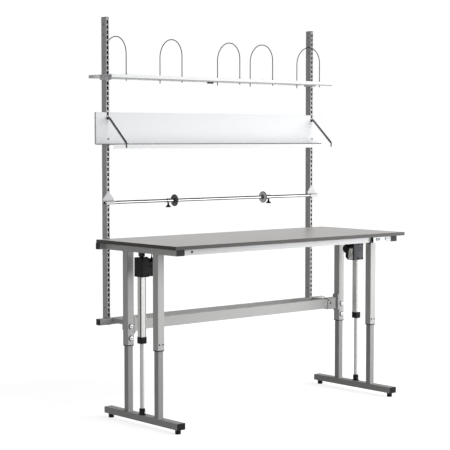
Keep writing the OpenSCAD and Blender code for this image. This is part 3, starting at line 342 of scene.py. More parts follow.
PLUG_GREY = replace(PLUG_BLACK, name="plug_grey", colour=(44, 44, 46))
BUTTON_GREY = Finish("button_grey", "grey_plastic", (84, 86, 90), 0.50, mottle=0.05, grain=1500)
PALE_MOULDED = Finish("pale_moulded", "pale_plastic", (212, 213, 214), 0.42, mottle=0.03,
                      grain=1500)
FOOT_RUBBER = Finish("foot_rubber", "foot_black", (16, 16, 17), 0.65, mottle=0.12, grain=900,
                     bump=0.25, relief=0.00015, specular=0.2)
CABLE_JACKET = Finish("cable_jacket", "cable", (16, 16, 17), 0.55, mottle=0.10, grain=900,
                      specular=0.2)
BOARD_GREEN = Finish("board_green", "board", (40, 92, 62), 0.45, mottle=0.12, cloud=140,
                     grain=900)

PartFinish = tuple[Finish, Callable[[Vector], bool]]


def dress(finish: Finish, *nodes: str) -> None:
    """Gives CAD nodes that keep their shape a finish.

    Args:
        finish: the finish.
        nodes: names of the CAD nodes.
    """
    for node in nodes:
        slots = frame["nodes"][node].data.materials
        slots.clear()
        slots.append(finish.material())


def body_of(node: str) -> str:
    """Name of the body that a CAD node belongs to."""
    return frame["nodes"][node]["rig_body"]


# Shaping


def edges_of(verts: Iterable[bmesh.types.BMVert]) -> list[bmesh.types.BMEdge]:
    """Edges that end at one or more of the vertices."""
    return list({e for v in verts for e in v.link_edges})


@dataclass(frozen=True)
class Boss:
    """Round boss, pin head or disc with a chamfer round its top.

    Args:
        radius: its radius.
        height: its height.
        cut: how far the chamfer goes inwards.
        drop: how far the chamfer goes down.
        steps: segments round the axis.
    """

    radius: float
    height: float
    cut: float
    drop: float
    steps: int


HEAD_SHARES = ((0.0, 0.0), (1.0, 0.0), (1.0, 0.2), (0.93, 0.5), (0.78, 0.82), (0.55, 1.0))
SOCKET_SHARE = 0.42
SOCKET_DEPTH_SHARE = 0.6
CHAMFER_SHARE = 0.05


class Shape:
    """A mesh in the making, in metres and in the place that it has on the table."""

    def __init__(self, node: str | None = None) -> None:
        """Starts empty, or from a merged copy of a CAD node.

        Args:
            node: name of the CAD node to copy.
        """
        self.bm = bmesh.new()
        self.from_node = node is not None
        if node:
            self.bm.from_mesh(frame["nodes"][node].data)
            bmesh.ops.remove_doubles(self.bm, verts=self.bm.verts, dist=MERGE_DISTANCE)
            bmesh.ops.dissolve_limit(self.bm, angle_limit=FLAT_ANGLE, verts=self.bm.verts,
                                     edges=self.bm.edges)

    def _since(self, seen: set) -> list:
        """Vertices that were added since a set of vertices was taken."""
        return [v for v in self.bm.verts if v not in seen]

    def _bevel(self, edges: list, width: float, segments: int) -> None:
        """Rounds edges, or chamfers them with a single segment."""
        bmesh.ops.bevel(self.bm, geom=edges, offset=width, offset_type="OFFSET", affect="EDGES",
                        segments=segments, profile=0.5, material=-1, clamp_overlap=True)

    def block(self, low: Point, high: Point, edge: float = 0.0, segments: int = 2) -> "Shape":
        """Adds a block with rounded edges.

        Args:
            low: its lowest corner.
            high: its highest corner.
            edge: radius of its edges.
            segments: segments of the rounding.

        Returns:
            The shape itself.
        """
        low_corner, high_corner = Vector(low), Vector(high)
        made = bmesh.ops.create_cube(self.bm, size=1.0)["verts"]
        middle = Matrix.Translation((low_corner + high_corner) / 2)
        size = Matrix.Diagonal((*(high_corner - low_corner), 1.0))
        bmesh.ops.transform(self.bm, matrix=middle @ size, verts=made)
        if edge:
            self._bevel(edges_of(made), edge, segments)
        return self

    def turned(self, outline: Outline, centre: Point, toward: Toward = Toward.UP,
               steps: int = 32) -> "Shape":
        """Adds a form turned round an axis.

        Args:
            outline: radius and height of each point; a radius of zero closes an end.
            centre: where the axis starts.
            toward: direction of the axis.
            steps: segments round the axis.

        Returns:
            The shape itself.
        """
        seen = set(self.bm.verts)
        chain = [self.bm.verts.new((radius, 0.0, height)) for radius, height in outline]
        edges = [self.bm.edges.new(pair) for pair in zip(chain, chain[1:])]
        bmesh.ops.spin(self.bm, geom=chain + edges, cent=(0, 0, 0), axis=(0, 0, 1), dvec=(0, 0, 0),
                       angle=math.tau, steps=steps, use_merge=True, use_duplicate=False)
        bmesh.ops.remove_doubles(self.bm, verts=self._since(seen), dist=MERGE_DISTANCE)
        bmesh.ops.transform(self.bm, matrix=toward.place(centre), verts=self._since(seen))
        return self

    def boss(self, form: Boss, centre: Point, toward: Toward) -> "Shape":
        """Adds a boss.

        Args:
            form: the boss.
            centre: middle of its seat.
            toward: direction in which it stands out.

        Returns:
            The shape itself.
        """
        r, h = form.radius, form.height
        return self.turned([(0.0, 0.0), (r, 0.0), (r, h - form.drop), (r - form.cut, h), (0.0, h)],
                           centre, toward, form.steps)

    def prism(self, outline: Outline, depth: float, place: Matrix) -> "Shape":
        """Adds a flat outline pulled out along its local Z axis.

        Args:
            outline: points of the outline in its own plane.
            depth: how far it is pulled out.
            place: matrix that sets it in the table.

        Returns:
            The shape itself.
        """
        seen = set(self.bm.verts)
        face = self.bm.faces.new([self.bm.verts.new((x, y, 0.0)) for x, y in outline])
        pulled = bmesh.ops.extrude_face_region(self.bm, geom=[face])["geom"]
        bmesh.ops.translate(self.bm, vec=(0, 0, depth),
                            verts=[v for v in pulled if isinstance(v, bmesh.types.BMVert)])
        bmesh.ops.transform(self.bm, matrix=place, verts=self._since(seen))
        return self

    def hexagon(self, across: float, height: float, centre: Point, toward: Toward,
                turned_by: float) -> "Shape":
        """Adds a hexagon with a chamfered outer face.

        Args:
            across: distance across its flats.
            height: its height along the axis.
            centre: middle of its seat.
            toward: direction of its axis.
            turned_by: angle round the axis.

        Returns:
            The shape itself.
        """
        seen = set(self.bm.verts)
        radius = across / math.sqrt(3)
        made = bmesh.ops.create_cone(self.bm, cap_ends=True, segments=6, radius1=radius,
                                     radius2=radius, depth=height)["verts"]
        top = [e for e in edges_of(made) if all(v.co.z > 0 for v in e.verts)]
        self._bevel(top, across * CHAMFER_SHARE, 1)
        spin = Matrix.Rotation(turned_by, 4, "Z") @ Matrix.Translation((0, 0, height / 2))
        bmesh.ops.transform(self.bm, matrix=toward.place(centre) @ spin, verts=self._since(seen))
        return self

    def socket_head(self, width: float, height: float, centre: Point, toward: Toward) -> "Shape":
        """Adds a button head with a hexagon socket.

        Args:
            width: diameter of the head.
            height: its height.
            centre: middle of its seat.
            toward: direction in which it stands out.

        Returns:
            The shape itself.
        """
        seen = set(self.bm.verts)
        r = width / 2
        self.turned([(r * out, height * up) for out, up in HEAD_SHARES], (0, 0, 0), steps=24)
        ring = [e for e in edges_of(self._since(seen)) if e.is_boundary]
        before = set(self.bm.verts)
        bmesh.ops.create_circle(self.bm, cap_ends=False, segments=6, radius=r * SOCKET_SHARE,
                                matrix=Matrix.Translation((0, 0, height)))
        sides = edges_of(self._since(before))
        bmesh.ops.bridge_loops(self.bm, edges=ring + sides)
        sunk = bmesh.ops.extrude_edge_only(self.bm, edges=sides)["geom"]
        low = [v for v in sunk if isinstance(v, bmesh.types.BMVert)]
        bmesh.ops.translate(self.bm, vec=(0, 0, -height * SOCKET_DEPTH_SHARE), verts=low)
        rim_edges = [e for e in sunk if isinstance(e, bmesh.types.BMEdge)]
        bmesh.ops.contextual_create(self.bm, geom=low + rim_edges)
        bmesh.ops.transform(self.bm, matrix=toward.place(centre), verts=self._since(seen))
        return self

    def line(self, points: Iterable[Point], radius: float, closed: bool = False,
             swell: float = 0.0) -> "Shape":
        """Adds a round bar along a line, such as a cable or a weld bead.

        Args:
            points: points of the line.
            radius: radius of the bar.
            closed: whether the line closes on itself.
            swell: how far every second point is thinner, as a share.

        Returns:
            The shape itself.
        """
        points = list(points)
        curve = bpy.data.curves.new("line", "CURVE")
        curve.dimensions = "3D"
        curve.bevel_depth = radius
        curve.bevel_resolution = LINE_SEGMENTS
        curve.use_fill_caps = not closed
        spline = curve.splines.new("POLY")
        spline.points.add(len(points) - 1)
        for k, (knot, point) in enumerate(zip(spline.points, points)):
            knot.co = (*point, 1.0)
            knot.radius = 1.0 - swell * (k % 2)
        spline.use_cyclic_u = closed
        holder = bpy.data.objects.new("line", curve)
        mesh = bpy.data.meshes.new_from_object(holder)
        self.bm.from_mesh(mesh)
        bpy.data.objects.remove(holder)
        bpy.data.curves.remove(curve)
        bpy.data.meshes.remove(mesh)
        return self

    def put(self, name: str, finish: Finish, body: str, stands_for: Sequence[str] = (),
            rounding: Rounding = Rounding.NONE,
            second: PartFinish | None = None) -> bpy.types.Object:
        """Makes the finished piece.

        Args:
            name: name of the piece.
            finish: its finish.
            body: CAD body that it rides on.
            stands_for: CAD nodes that it replaces.
            rounding: rounding of its sharp edges.
            second: another finish, and the test of a face's middle that says where it goes.

        Returns:
            The piece's object.
        """
        if second:
            for face in self.bm.faces:
                face.material_index = int(second[1](face.calc_center_median()))
        if not self.from_node:
            bmesh.ops.remove_doubles(self.bm, verts=self.bm.verts, dist=MERGE_DISTANCE / 2)
            bmesh.ops.recalc_face_normals(self.bm, faces=self.bm.faces)
        mesh = bpy.data.meshes.new(name)
        self.bm.to_mesh(mesh)
        self.bm.free()
        mesh.shade_smooth()
        mesh.set_sharp_from_angle(angle=SMOOTH_ANGLE)
        piece = bpy.data.objects.new(name, mesh)
        bpy.context.scene.collection.objects.link(piece)
        mesh.materials.append(finish.material())
        if second:
            mesh.materials.append(second[0].material())
        width, segments = rounding.value
        if width:
            edges = piece.modifiers.new("edges", "BEVEL")
            edges.width = width
            edges.segments = segments
            edges.limit_method = "ANGLE"
            edges.angle_limit = BEVEL_ANGLE
            edges.use_clamp_overlap = False
            edges.miter_outer = "MITER_ARC" if segments > 2 else "MITER_SHARP"
        shading = piece.modifiers.new("shading", "WEIGHTED_NORMAL")
        shading.keep_sharp = True
        shading.weight = SHADING_WEIGHT
        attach(piece, body)
        if stands_for:
            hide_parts(*stands_for)
        LOG.info("%s: %d faces on %s", name, len(mesh.polygons), body)
        return piece


def carry_over(node: str, finish: Finish, rounding: Rounding = Rounding.SHEET,
               second: PartFinish | None = None) -> bpy.types.Object:
    """Makes the dressed piece that has a CAD node's own shape with rounded edges.

    Args:
        node: name of the CAD node.
        finish: its finish.
        rounding: rounding of its sharp edges.
        second: another finish, and the test of a face's middle that says where it goes.

    Returns:
        The piece's object.
    """
    return Shape(node).put("fine_" + node, finish, body_of(node), [node], rounding, second)


def square_ring(centre: Point, half: float, corner: float) -> list[Point]:
    """Points evenly along a level square with rounded corners.

    Args:
        centre: middle of the square.
        half: half of its width.
        corner: radius of its corners.

    Returns:
        The points in order round the square.
    """
    spots = []
    for k, (sx, sy) in enumerate(((1, 1), (-1, 1), (-1, -1), (1, -1))):
        for step in range(CORNER_STEPS + 1):
            angle = (k + step / CORNER_STEPS) * math.pi / 2
            spots.append(Vector((sx * (half - corner) + corner * math.cos(angle),
                                 sy * (half - corner) + corner * math.sin(angle), 0.0)))
    points = []
    for start, end in zip(spots, spots[1:] + spots[:1]):
        count = max(round((end - start).length / RING_PITCH), 1)
        points += [start.lerp(end, step / count) for step in range(count)]
    return [tuple(Vector(centre) + p) for p in points]


# Sub-assemblies


@dataclass
class Worktop:
    """Laminated board with its edge band."""

    board_edge: Rounding = Rounding.HAIR
    band_edge: Rounding = Rounding.BAND

    def build(self) -> None:
        """Builds the board and the band."""
        carry_over("worktop", LAMINATE, self.board_edge)
        carry_over("worktop_edge_band", EDGE_BAND, self.band_edge)


@dataclass
class LegFrames:
    """Base beams, posts, outer tubes and cross beams, with their bushes, plugs and welds."""

    leg_x: float = 0.932
    front_y: float = -0.207
    rear_y: float = 0.097
    base_top: float = 0.068
    cross_bottom: float = 1.070
    outer_half: float = 0.025
    inner_half: float = 0.020
    bead: float = 0.0022
    bead_corner: float = 0.004
    bead_swell: float = 0.18
    lip_reach: float = 0.001
    lip_extra: float = 0.0025
    stud_x: float = 0.014
    stud_z: float = 0.520
    stud_r: float = 0.0056
    stud_rise: float = 0.0005
    stud_shares: Pair = (0.9, 0.6)
    shank_r: float = 0.0027
    shank_l: float = 0.003

    def build(self) -> None:
        """Builds the tubes, plugs, bushes and welds."""
        for node in ("outer_legs", "cross_beams"):
            carry_over(node, FRAME_COAT)
        for side, _ in SIDES:
            carry_over(f"{side}_base_beam", BASE_COAT)
            carry_over(f"{side}_inner_posts", POST_COAT)
        self._bushes()
        carry_over("tube_end_plugs", PLUG_GREY, Rounding.PLUG)
        for side, _ in SIDES:
            carry_over(f"{side}_base_plugs", PLUG_BLACK, Rounding.PLUG)
        self._welds()
        self._rivets()

    def _bushes(self) -> None:
        """Builds the guide bushes with the lip that shows under each outer tube."""
        bushes = Shape("leg_guide_bushes")
        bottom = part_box("leg_guide_bushes")[0].z
        for v in bushes.bm.verts:
            if v.co.z < bottom + self.lip_reach:
                v.co.z -= self.lip_extra
        bushes.put("fine_bushes", BLACK_MOULDED, "frame", ["leg_guide_bushes"], Rounding.SHEET)

    def _welds(self) -> None:
        """Builds the beads under the cross beams and round the feet of the posts."""
        sunk = self.bead / 3
        for side, sign in SIDES:
            foot, head = Shape(), Shape()
            for y in (self.front_y, self.rear_y):
                for shape, z, half in ((foot, self.base_top + sunk, self.inner_half),
                                       (head, self.cross_bottom - sunk, self.outer_half)):
                    ring = square_ring((sign * self.leg_x, y, z), half + sunk, self.bead_corner)
                    shape.line(ring, self.bead, True, self.bead_swell)
            foot.put(f"{side}_post_welds", WELD, f"{side}_base")
            head.put(f"{side}_leg_welds", WELD, "frame")

    def _rivets(self) -> None:
        """Builds the studs of the guide bush in the two holes of each front leg."""
        studs = Shape()
        r, h = self.stud_r, self.stud_rise
        top, side = self.stud_shares
        for _, sign in SIDES:
            for x in (-self.stud_x, self.stud_x):
                studs.turned([(0.0, -self.shank_l), (self.shank_r, -self.shank_l),
                              (self.shank_r, 0.0), (r, 0.0), (r, h * side), (r * top, h),
                              (0.0, h)],
                             (sign * self.leg_x + x, self.front_y - self.outer_half, self.stud_z),
                             Toward.FRONT, steps=16)
        studs.put("bush_studs", PLUG_BLACK, "frame")


@dataclass
class LegBolts:
    """Bright bolts that hold the guide bushes of the rear legs, with painted shade on the sides of
    their heads.
    """

    leg_x: float = 0.932
    face_y: float = 0.072
    heights: Pair = (0.527, 0.601)
    head: float = 0.028
    rise: float = 0.008
    shank_r: float = 0.006
    shank_l: float = 0.004
    dome_shares: Outline = ((1.0, 0.0), (1.0, 0.62), (0.93, 0.84), (0.80, 0.95), (0.5, 1.0))
    side_share: float = 0.97
    slot: tuple[float, float, float] = (0.0105, 0.0052, 0.0005)
    slot_share: float = 0.6
    ring: float = 0.0030
    ring_t: float = 0.0020
    ring_bore: float = 0.007
    ring_cut: float = 0.0008

    def build(self) -> None:
        """Builds the four bolts, with dark rings and slot blocks that paint the shadow round each
        head and the shade in its driver slot.
        """
        bolts, dark = Shape(), Shape()
        r, h = self.head / 2, self.rise
        bore, wide_r, thick, cut = self.ring_bore, r + self.ring, self.ring_t, self.ring_cut
        wide, tall, proud = self.slot
        for _, sign in SIDES:
            for z in self.heights:
                seat = (sign * self.leg_x, self.face_y, z)
                bolts.turned([(0.0, -self.shank_l), (self.shank_r, -self.shank_l),
                              (self.shank_r, 0.0),
                              *[(r * out, h * up) for out, up in self.dome_shares], (0.0, h)],
                             seat, Toward.FRONT, steps=40)
                # A dark ring round each head paints its shadow.
                dark.turned([(bore, 0.0), (wide_r, 0.0), (wide_r, thick - cut),
                             (wide_r - cut, thick), (bore, thick), (bore, 0.0)],
                            seat, Toward.FRONT, steps=40)
                # A dark block on each head paints the shade in its driver slot.
                dark.block((seat[0] - wide / 2, self.face_y - h - proud, z - tall / 2),
                           (seat[0] + wide / 2, self.face_y - h * self.slot_share, z + tall / 2))
        # The sides of the heads get the black finish: painted shade.
        bolts.put("leg_bolt_heads", BOLT_BRIGHT, "frame", ["leg_bolts"], Rounding.HAIR,
                  (SCREW_BLACK, self._on_shaded_side))
        dark.put("leg_bolt_painted_shade", SCREW_BLACK, "frame")

    def _on_shaded_side(self, spot: Vector) -> bool:
        """Whether a face's middle lies on the side of a bolt's head, which is painted black as
        shade.
        """
        rise = min(abs(spot.z - z) for z in self.heights)
        return math.hypot(abs(spot.x) - self.leg_x, rise) > self.head / 2 * self.side_share


@dataclass
class FrameLinks:
    """Front rail, stretcher with its ends, rear beams and arms, with their button-head screws."""

    rail_screw_x: float = 0.845
    rail_y: float = -0.421
    rail_screw_z: float = 1.091
    panel_screw_x: float = 0.9
    panel_y: float = 0.3435
    panel_screw_z: float = 1.764
    socket_x: float = 0.805
    socket_y: float = 0.082
    stretch_z: float = 0.608
    socket_screws: Outline = ((0.011, 0.026), (0.028, 0.003))
    head: float = 0.011
    rail_head: float = 0.0160
    rise: float = 0.0035

    def build(self) -> None:
        """Builds the links and their screws."""
        for node in ("stretcher", "rear_beams", "upright_arms", "stretcher_ends"):
            carry_over(node, FRAME_COAT)
        carry_over("front_rail", RAIL_COAT)
        screws = Shape()
        places = [(self.rail_head, (self.rail_screw_x, self.rail_y, self.rail_screw_z)),
                  (self.head, (self.panel_screw_x, self.panel_y, self.panel_screw_z))]
        places += [(self.head, (self.socket_x + x, self.socket_y, self.stretch_z + z))
                   for x, z in self.socket_screws]
        for _, sign in SIDES:
            for width, (x, y, z) in places:
                screws.socket_head(width, self.rise, (sign * x, y, z), Toward.FRONT)
        screws.put("socket_head_screws", SCREW_BLACK, "frame", ["button_head_screws"],
                   Rounding.HAIR)


@dataclass
class Uprights:
    """Slotted uprights with the hexagon bolts that hold them to the rear beams."""

    upright_x: float = 0.9
    front_y: float = 0.347
    back_y: float = 0.397
    half_x: float = 0.0125
    wall: float = 0.002
    inside_share: float = 0.7
    front_share: float = 1.1
    slot_half: float = 0.0052
    slot_start: float = 0.612
    slot_pitch: float = 0.032
    slot_wider: float = 0.22
    slot_taller: float = 0.10
    bolt_heights: Pair = (0.612, 1.092)
    across: float = 0.0113
    rise: float = 0.0065
    washer_bore: float = 0.004
    washer_r: float = 0.008
    washer_t: float = 0.0015
    bolt_turn: float = 0.3

    def _inside(self, spot: Vector) -> bool:
        """Whether a face's middle lies inside the walls of an upright, where painted shade goes."""
        depth = self.wall * self.inside_share
        return (abs(abs(spot.x) - self.upright_x) < self.half_x - depth
                and self.front_y + depth < spot.y < self.back_y - depth)

    def build(self) -> None:
        """Builds the uprights and their bolts."""
        tubes = Shape("uprights")
        for v in tubes.bm.verts:
            across = abs(v.co.x) - self.upright_x
            in_front = v.co.y < self.front_y + self.wall * self.front_share
            if in_front and abs(across) < self.slot_half:
                above = v.co.z - self.slot_start
                off_middle = above - round(above / self.slot_pitch) * self.slot_pitch
                v.co.x += math.copysign(across * self.slot_wider, v.co.x * across)
                v.co.z += off_middle * self.slot_taller
        # The inner faces of the tubes are painted near-black as shade, so the slots look dark.
        tubes.put("fine_uprights", UPRIGHT_COAT, "frame", ["uprights"], Rounding.TUBE,
                  (INSIDE_PAINTED_SHADE, self._inside))
        bolts = Shape()
        for _, sign in SIDES:
            for z in self.bolt_heights:
                seat = (sign * self.upright_x, self.back_y, z)
                bolts.turned([(self.washer_bore, 0.0), (self.washer_r, 0.0),
                              (self.washer_r, self.washer_t), (self.washer_bore, self.washer_t)],
                             seat, Toward.BACK, steps=28)
                bolts.hexagon(self.across, self.rise, (seat[0], seat[1] + self.washer_t, z),
                              Toward.BACK, self.bolt_turn + z)
        bolts.put("hexagon_bolts", ZINC, "frame", ["upright_bolts"])


@dataclass
class MiddleShelf:
    """Lipped shelf with its back panel, struts and brackets."""

    gap_shade: float = 0.0028
    gap_shade_lap: float = 0.0014
    gap_shade_inset: float = 0.002
    gap_shade_front: float = 0.0006
    gap_shade_back: float = 0.0002
    strut_foot: Point = (0.9, 0.148, 1.735)
    strut_head: Point = (0.9, 0.337, 1.902)
    sleeve_r: float = 0.0078
    sleeve_shares: Pair = (0.045, 0.965)

    def build(self) -> None:
        """Builds the shelf and what carries it."""
        carry_over("middle_shelf", WHITE_COAT)
        carry_over("shelf_back_panel", WHITE_COAT)
        carry_over("shelf_struts", DARK_STEEL, Rounding.ROD)
        carry_over("shelf_brackets", ZINC, Rounding.ROD)
        low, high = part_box("shelf_back_panel")
        # A black strip under the back panel: painted shade in the gap between the panel and the
        # shelf.
        gap_shade = Shape().block(
            (low.x + self.gap_shade_inset, low.y - self.gap_shade_front, low.z - self.gap_shade),
            (high.x - self.gap_shade_inset, high.y - self.gap_shade_back, low.z + self.gap_shade_lap))
        gap_shade.put("panel_gap_shade", BLACK_MOULDED, "frame", rounding=Rounding.GAP_STRIP)
        sleeves = Shape()
        foot, head = Vector(self.strut_foot), Vector(self.strut_head)
        for _, sign in SIDES:
            ends = [foot.lerp(head, share) for share in self.sleeve_shares]
            sleeves.line([(sign * p.x, p.y, p.z) for p in ends], self.sleeve_r)
        sleeves.put("strut_sleeves", STRUT_STEEL, "frame")


@dataclass
class DividerShelf:
    """Upper shelf with its brackets and wire dividers."""

    dividers: int = 5
    shade_strip_height: float = 0.0080
    shade_strip_inset: float = 0.001
    shade_strip_proud: float = 0.0004
    shade_strip_sunk: float = 0.0008
    clip_low: Point = (-0.177, 0.2165, 2.1285)
    clip_high: Point = (-0.132, 0.232, 2.1395)
    clip_edge: float = 0.0012

    def build(self) -> None:
        """Builds the shelf, the brackets and the dividers."""
        carry_over("divider_shelf", UPPER_COAT)
        carry_over("divider_shelf_brackets", BRACKET_ZINC, Rounding.ROD)
        low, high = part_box("divider_shelf")
        # A grey strip along the lower edge of the front lip: painted shade at the lip's foot.
        shade_strip = Shape().block(
            (low.x + self.shade_strip_inset, low.y - self.shade_strip_proud, low.z + self.shade_strip_proud),
            (high.x - self.shade_strip_inset, low.y + self.shade_strip_sunk, low.z + self.shade_strip_height))
        shade_strip.put("lip_painted_shade", LIP_SHADE, "frame")
        for k in range(1, self.dividers + 1):
            carry_over(f"divider_{k}", DARK_WIRE, Rounding.HAIR)
        clip = Shape().block(self.clip_low, self.clip_high, self.clip_edge)
        clip.put("cable_clip_block", BLACK_MOULDED, "frame")


@dataclass
class RollHolder:
    """Roll bar in its brackets, with two sliding discs and their thumb screws."""

    bar_y: float = 0.3295
    bar_z: float = 1.362
    bar_r: float = 0.0113
    disc_x: Pair = (-0.378, 0.415)
    disc_r: float = 0.040
    disc_t: float = 0.005
    inner_rim: Outline = ((0.006, 0.0), (0.005, 0.0008), (0.0025, 0.0002), (0.0006, 0.0008))
    outer_rim: Outline = ((0.0006, 0.0008), (0.0025, 0.0), (0.006, 0.0))
    hub_r: float = 0.017
    hub_t: float = 0.006
    hub_edge: float = 0.001
    hub_foot: float = 0.0012
    pale_gap: float = 0.0005
    pale_depth: float = 0.0003
    collar_r: float = 0.014
    collar_l: float = 0.064
    collar_edges: Pair = (0.0006, 0.0008)
    thumb_off: float = 0.050
    thumb_r: float = 0.018
    thumb_h: float = 0.030
    thumb_lip: float = 0.001
    thumb_gap: float = 0.0002
    shank_r: float = 0.0029
    neck_r: float = 0.0055
    flare: Outline = ((0.0055, 0.28), (0.0068, 0.42), (0.0095, 0.60), (0.0135, 0.74))
    grip_share: float = 0.83
    dish_shares: Pair = (0.72, 0.68)
    ribs: int = 24
    rib_from_share: float = 0.97
    rib_share: float = 0.06

    def build(self) -> None:
        """Builds the brackets, the bar, the discs and the thumb screws."""
        carry_over("roll_brackets", BRACKET_COAT)
        carry_over("roll_bar", CHROME, Rounding.ROD)
        for (side, sign), x in zip(SIDES, self.disc_x):
            outward = Toward.RIGHT if sign > 0 else Toward.LEFT
            self._disc(side, (x, self.bar_y, self.bar_z), outward)
            self._thumb_screw(side, x + sign * self.thumb_off)

    def _disc(self, side: str, centre: Point, outward: Toward) -> None:
        """Builds a disc with its hub, and the bright collar on its outer side.

        Args:
            side: side of the table.
            centre: middle of the disc's outer face.
            outward: direction away from the middle of the table.
        """
        t, back, foot = self.disc_t, -self.disc_t - self.hub_t, self.hub_foot
        disc = Shape().turned([
            (self.bar_r, back), (self.hub_r - self.hub_edge, back),
            (self.hub_r, back + self.hub_edge), (self.hub_r, -t - foot), (self.hub_r + foot, -t),
            *[(self.disc_r - inset, rise - t) for inset, rise in self.inner_rim],
            (self.disc_r, -t / 2),
            *[(self.disc_r - inset, -sunk) for inset, sunk in self.outer_rim],
            (self.bar_r, 0.0), (self.bar_r, back)], centre, outward, steps=56)
        inward = -outward.value[0]

        def on_inner_face(spot: Vector) -> bool:
            """Whether a face's middle lies on the disc's inner face, outside its hub."""
            reach = math.hypot(spot.y - centre[1], spot.z - centre[2])
            depth = t - (spot.x - centre[0]) * inward
            return depth < self.pale_depth and reach > self.hub_r + self.pale_gap

        disc.put(f"{side}_disc_plate", DISC_PLASTIC, f"{side}_roll_disc", [f"{side}_roll_disc"],
                 second=(DISC_PALE, on_inner_face))
        r, length = self.collar_r, self.collar_l
        near, far = self.collar_edges
        collar = Shape().turned([
            (self.bar_r, 0.0), (r - near, 0.0), (r, near), (r, length - far), (r - far, length),
            (self.bar_r, length), (self.bar_r, 0.0)], centre, outward, steps=40)
        collar.put(f"{side}_disc_collar", CHROME, f"{side}_roll_disc")

    def _thumb_screw(self, side: str, x: float) -> None:
        """Builds a thumb screw under a collar, with grip ribs round its flare.

        Args:
            side: side of the table.
            x: place of its axis along the bar.
        """
        neck = self.collar_r + self.thumb_gap
        r, h, lip = self.thumb_r, self.thumb_h, self.thumb_lip
        end = neck + h
        wide, narrow = self.dish_shares
        grip = Shape().turned([
            (0.0, self.bar_r), (self.shank_r, self.bar_r), (self.shank_r, neck),
            (self.neck_r, neck), *[(reach, neck + h * share) for reach, share in self.flare],
            (r, neck + h * self.grip_share), (r, end - lip), (r - lip, end), (r * wide, end),
            (r * narrow, end - lip), (0.0, end - lip)],
            (x, self.bar_y, self.bar_z), Toward.DOWN, steps=48)
        for v in grip.bm.verts:
            dx, dy = v.co.x - x, v.co.y - self.bar_y
            turn = round(math.atan2(dy, dx) * self.ribs / math.pi)
            if math.hypot(dx, dy) > r * self.rib_from_share and turn % 3 == 0:
                v.co.x -= dx * self.rib_share
                v.co.y -= dy * self.rib_share
        grip.put(f"{side}_thumb_grip", BLACK_MOULDED, f"{side}_thumb_screw",
                 [f"{side}_thumb_screw"])


@dataclass
class LiftPlaces:
    """Places and outer sizes that all pieces of the lift share.

    Args:
        axis_x: distance of the push rods from the table's middle.
        axis_y: place of the push rods from front to back.
        base_top: top of the base beams.
        gear_bottom: underside of the gearboxes.
        gear_top: top of the gearboxes.
        gear_half_x: half of a gearbox's width.
        gear_half_y: half of a gearbox's depth.
        motor_y: place of the motors' axes from front to back.
        motor_z: height of the motors' axes.
        inset: how far plates and seams stay inside the outline of what carries them.
        overlap: how far an added form reaches into what it stands on.
    """

    axis_x: float = 0.946
    axis_y: float = -0.059
    base_top: float = 0.068
    gear_bottom: float = 0.922
    gear_top: float = 1.041
    gear_half_x: float = 0.029
    gear_half_y: float = 0.0395
    motor_y: float = -0.063
    motor_z: float = 1.0025
    inset: float = 0.001
    overlap: float = 0.002


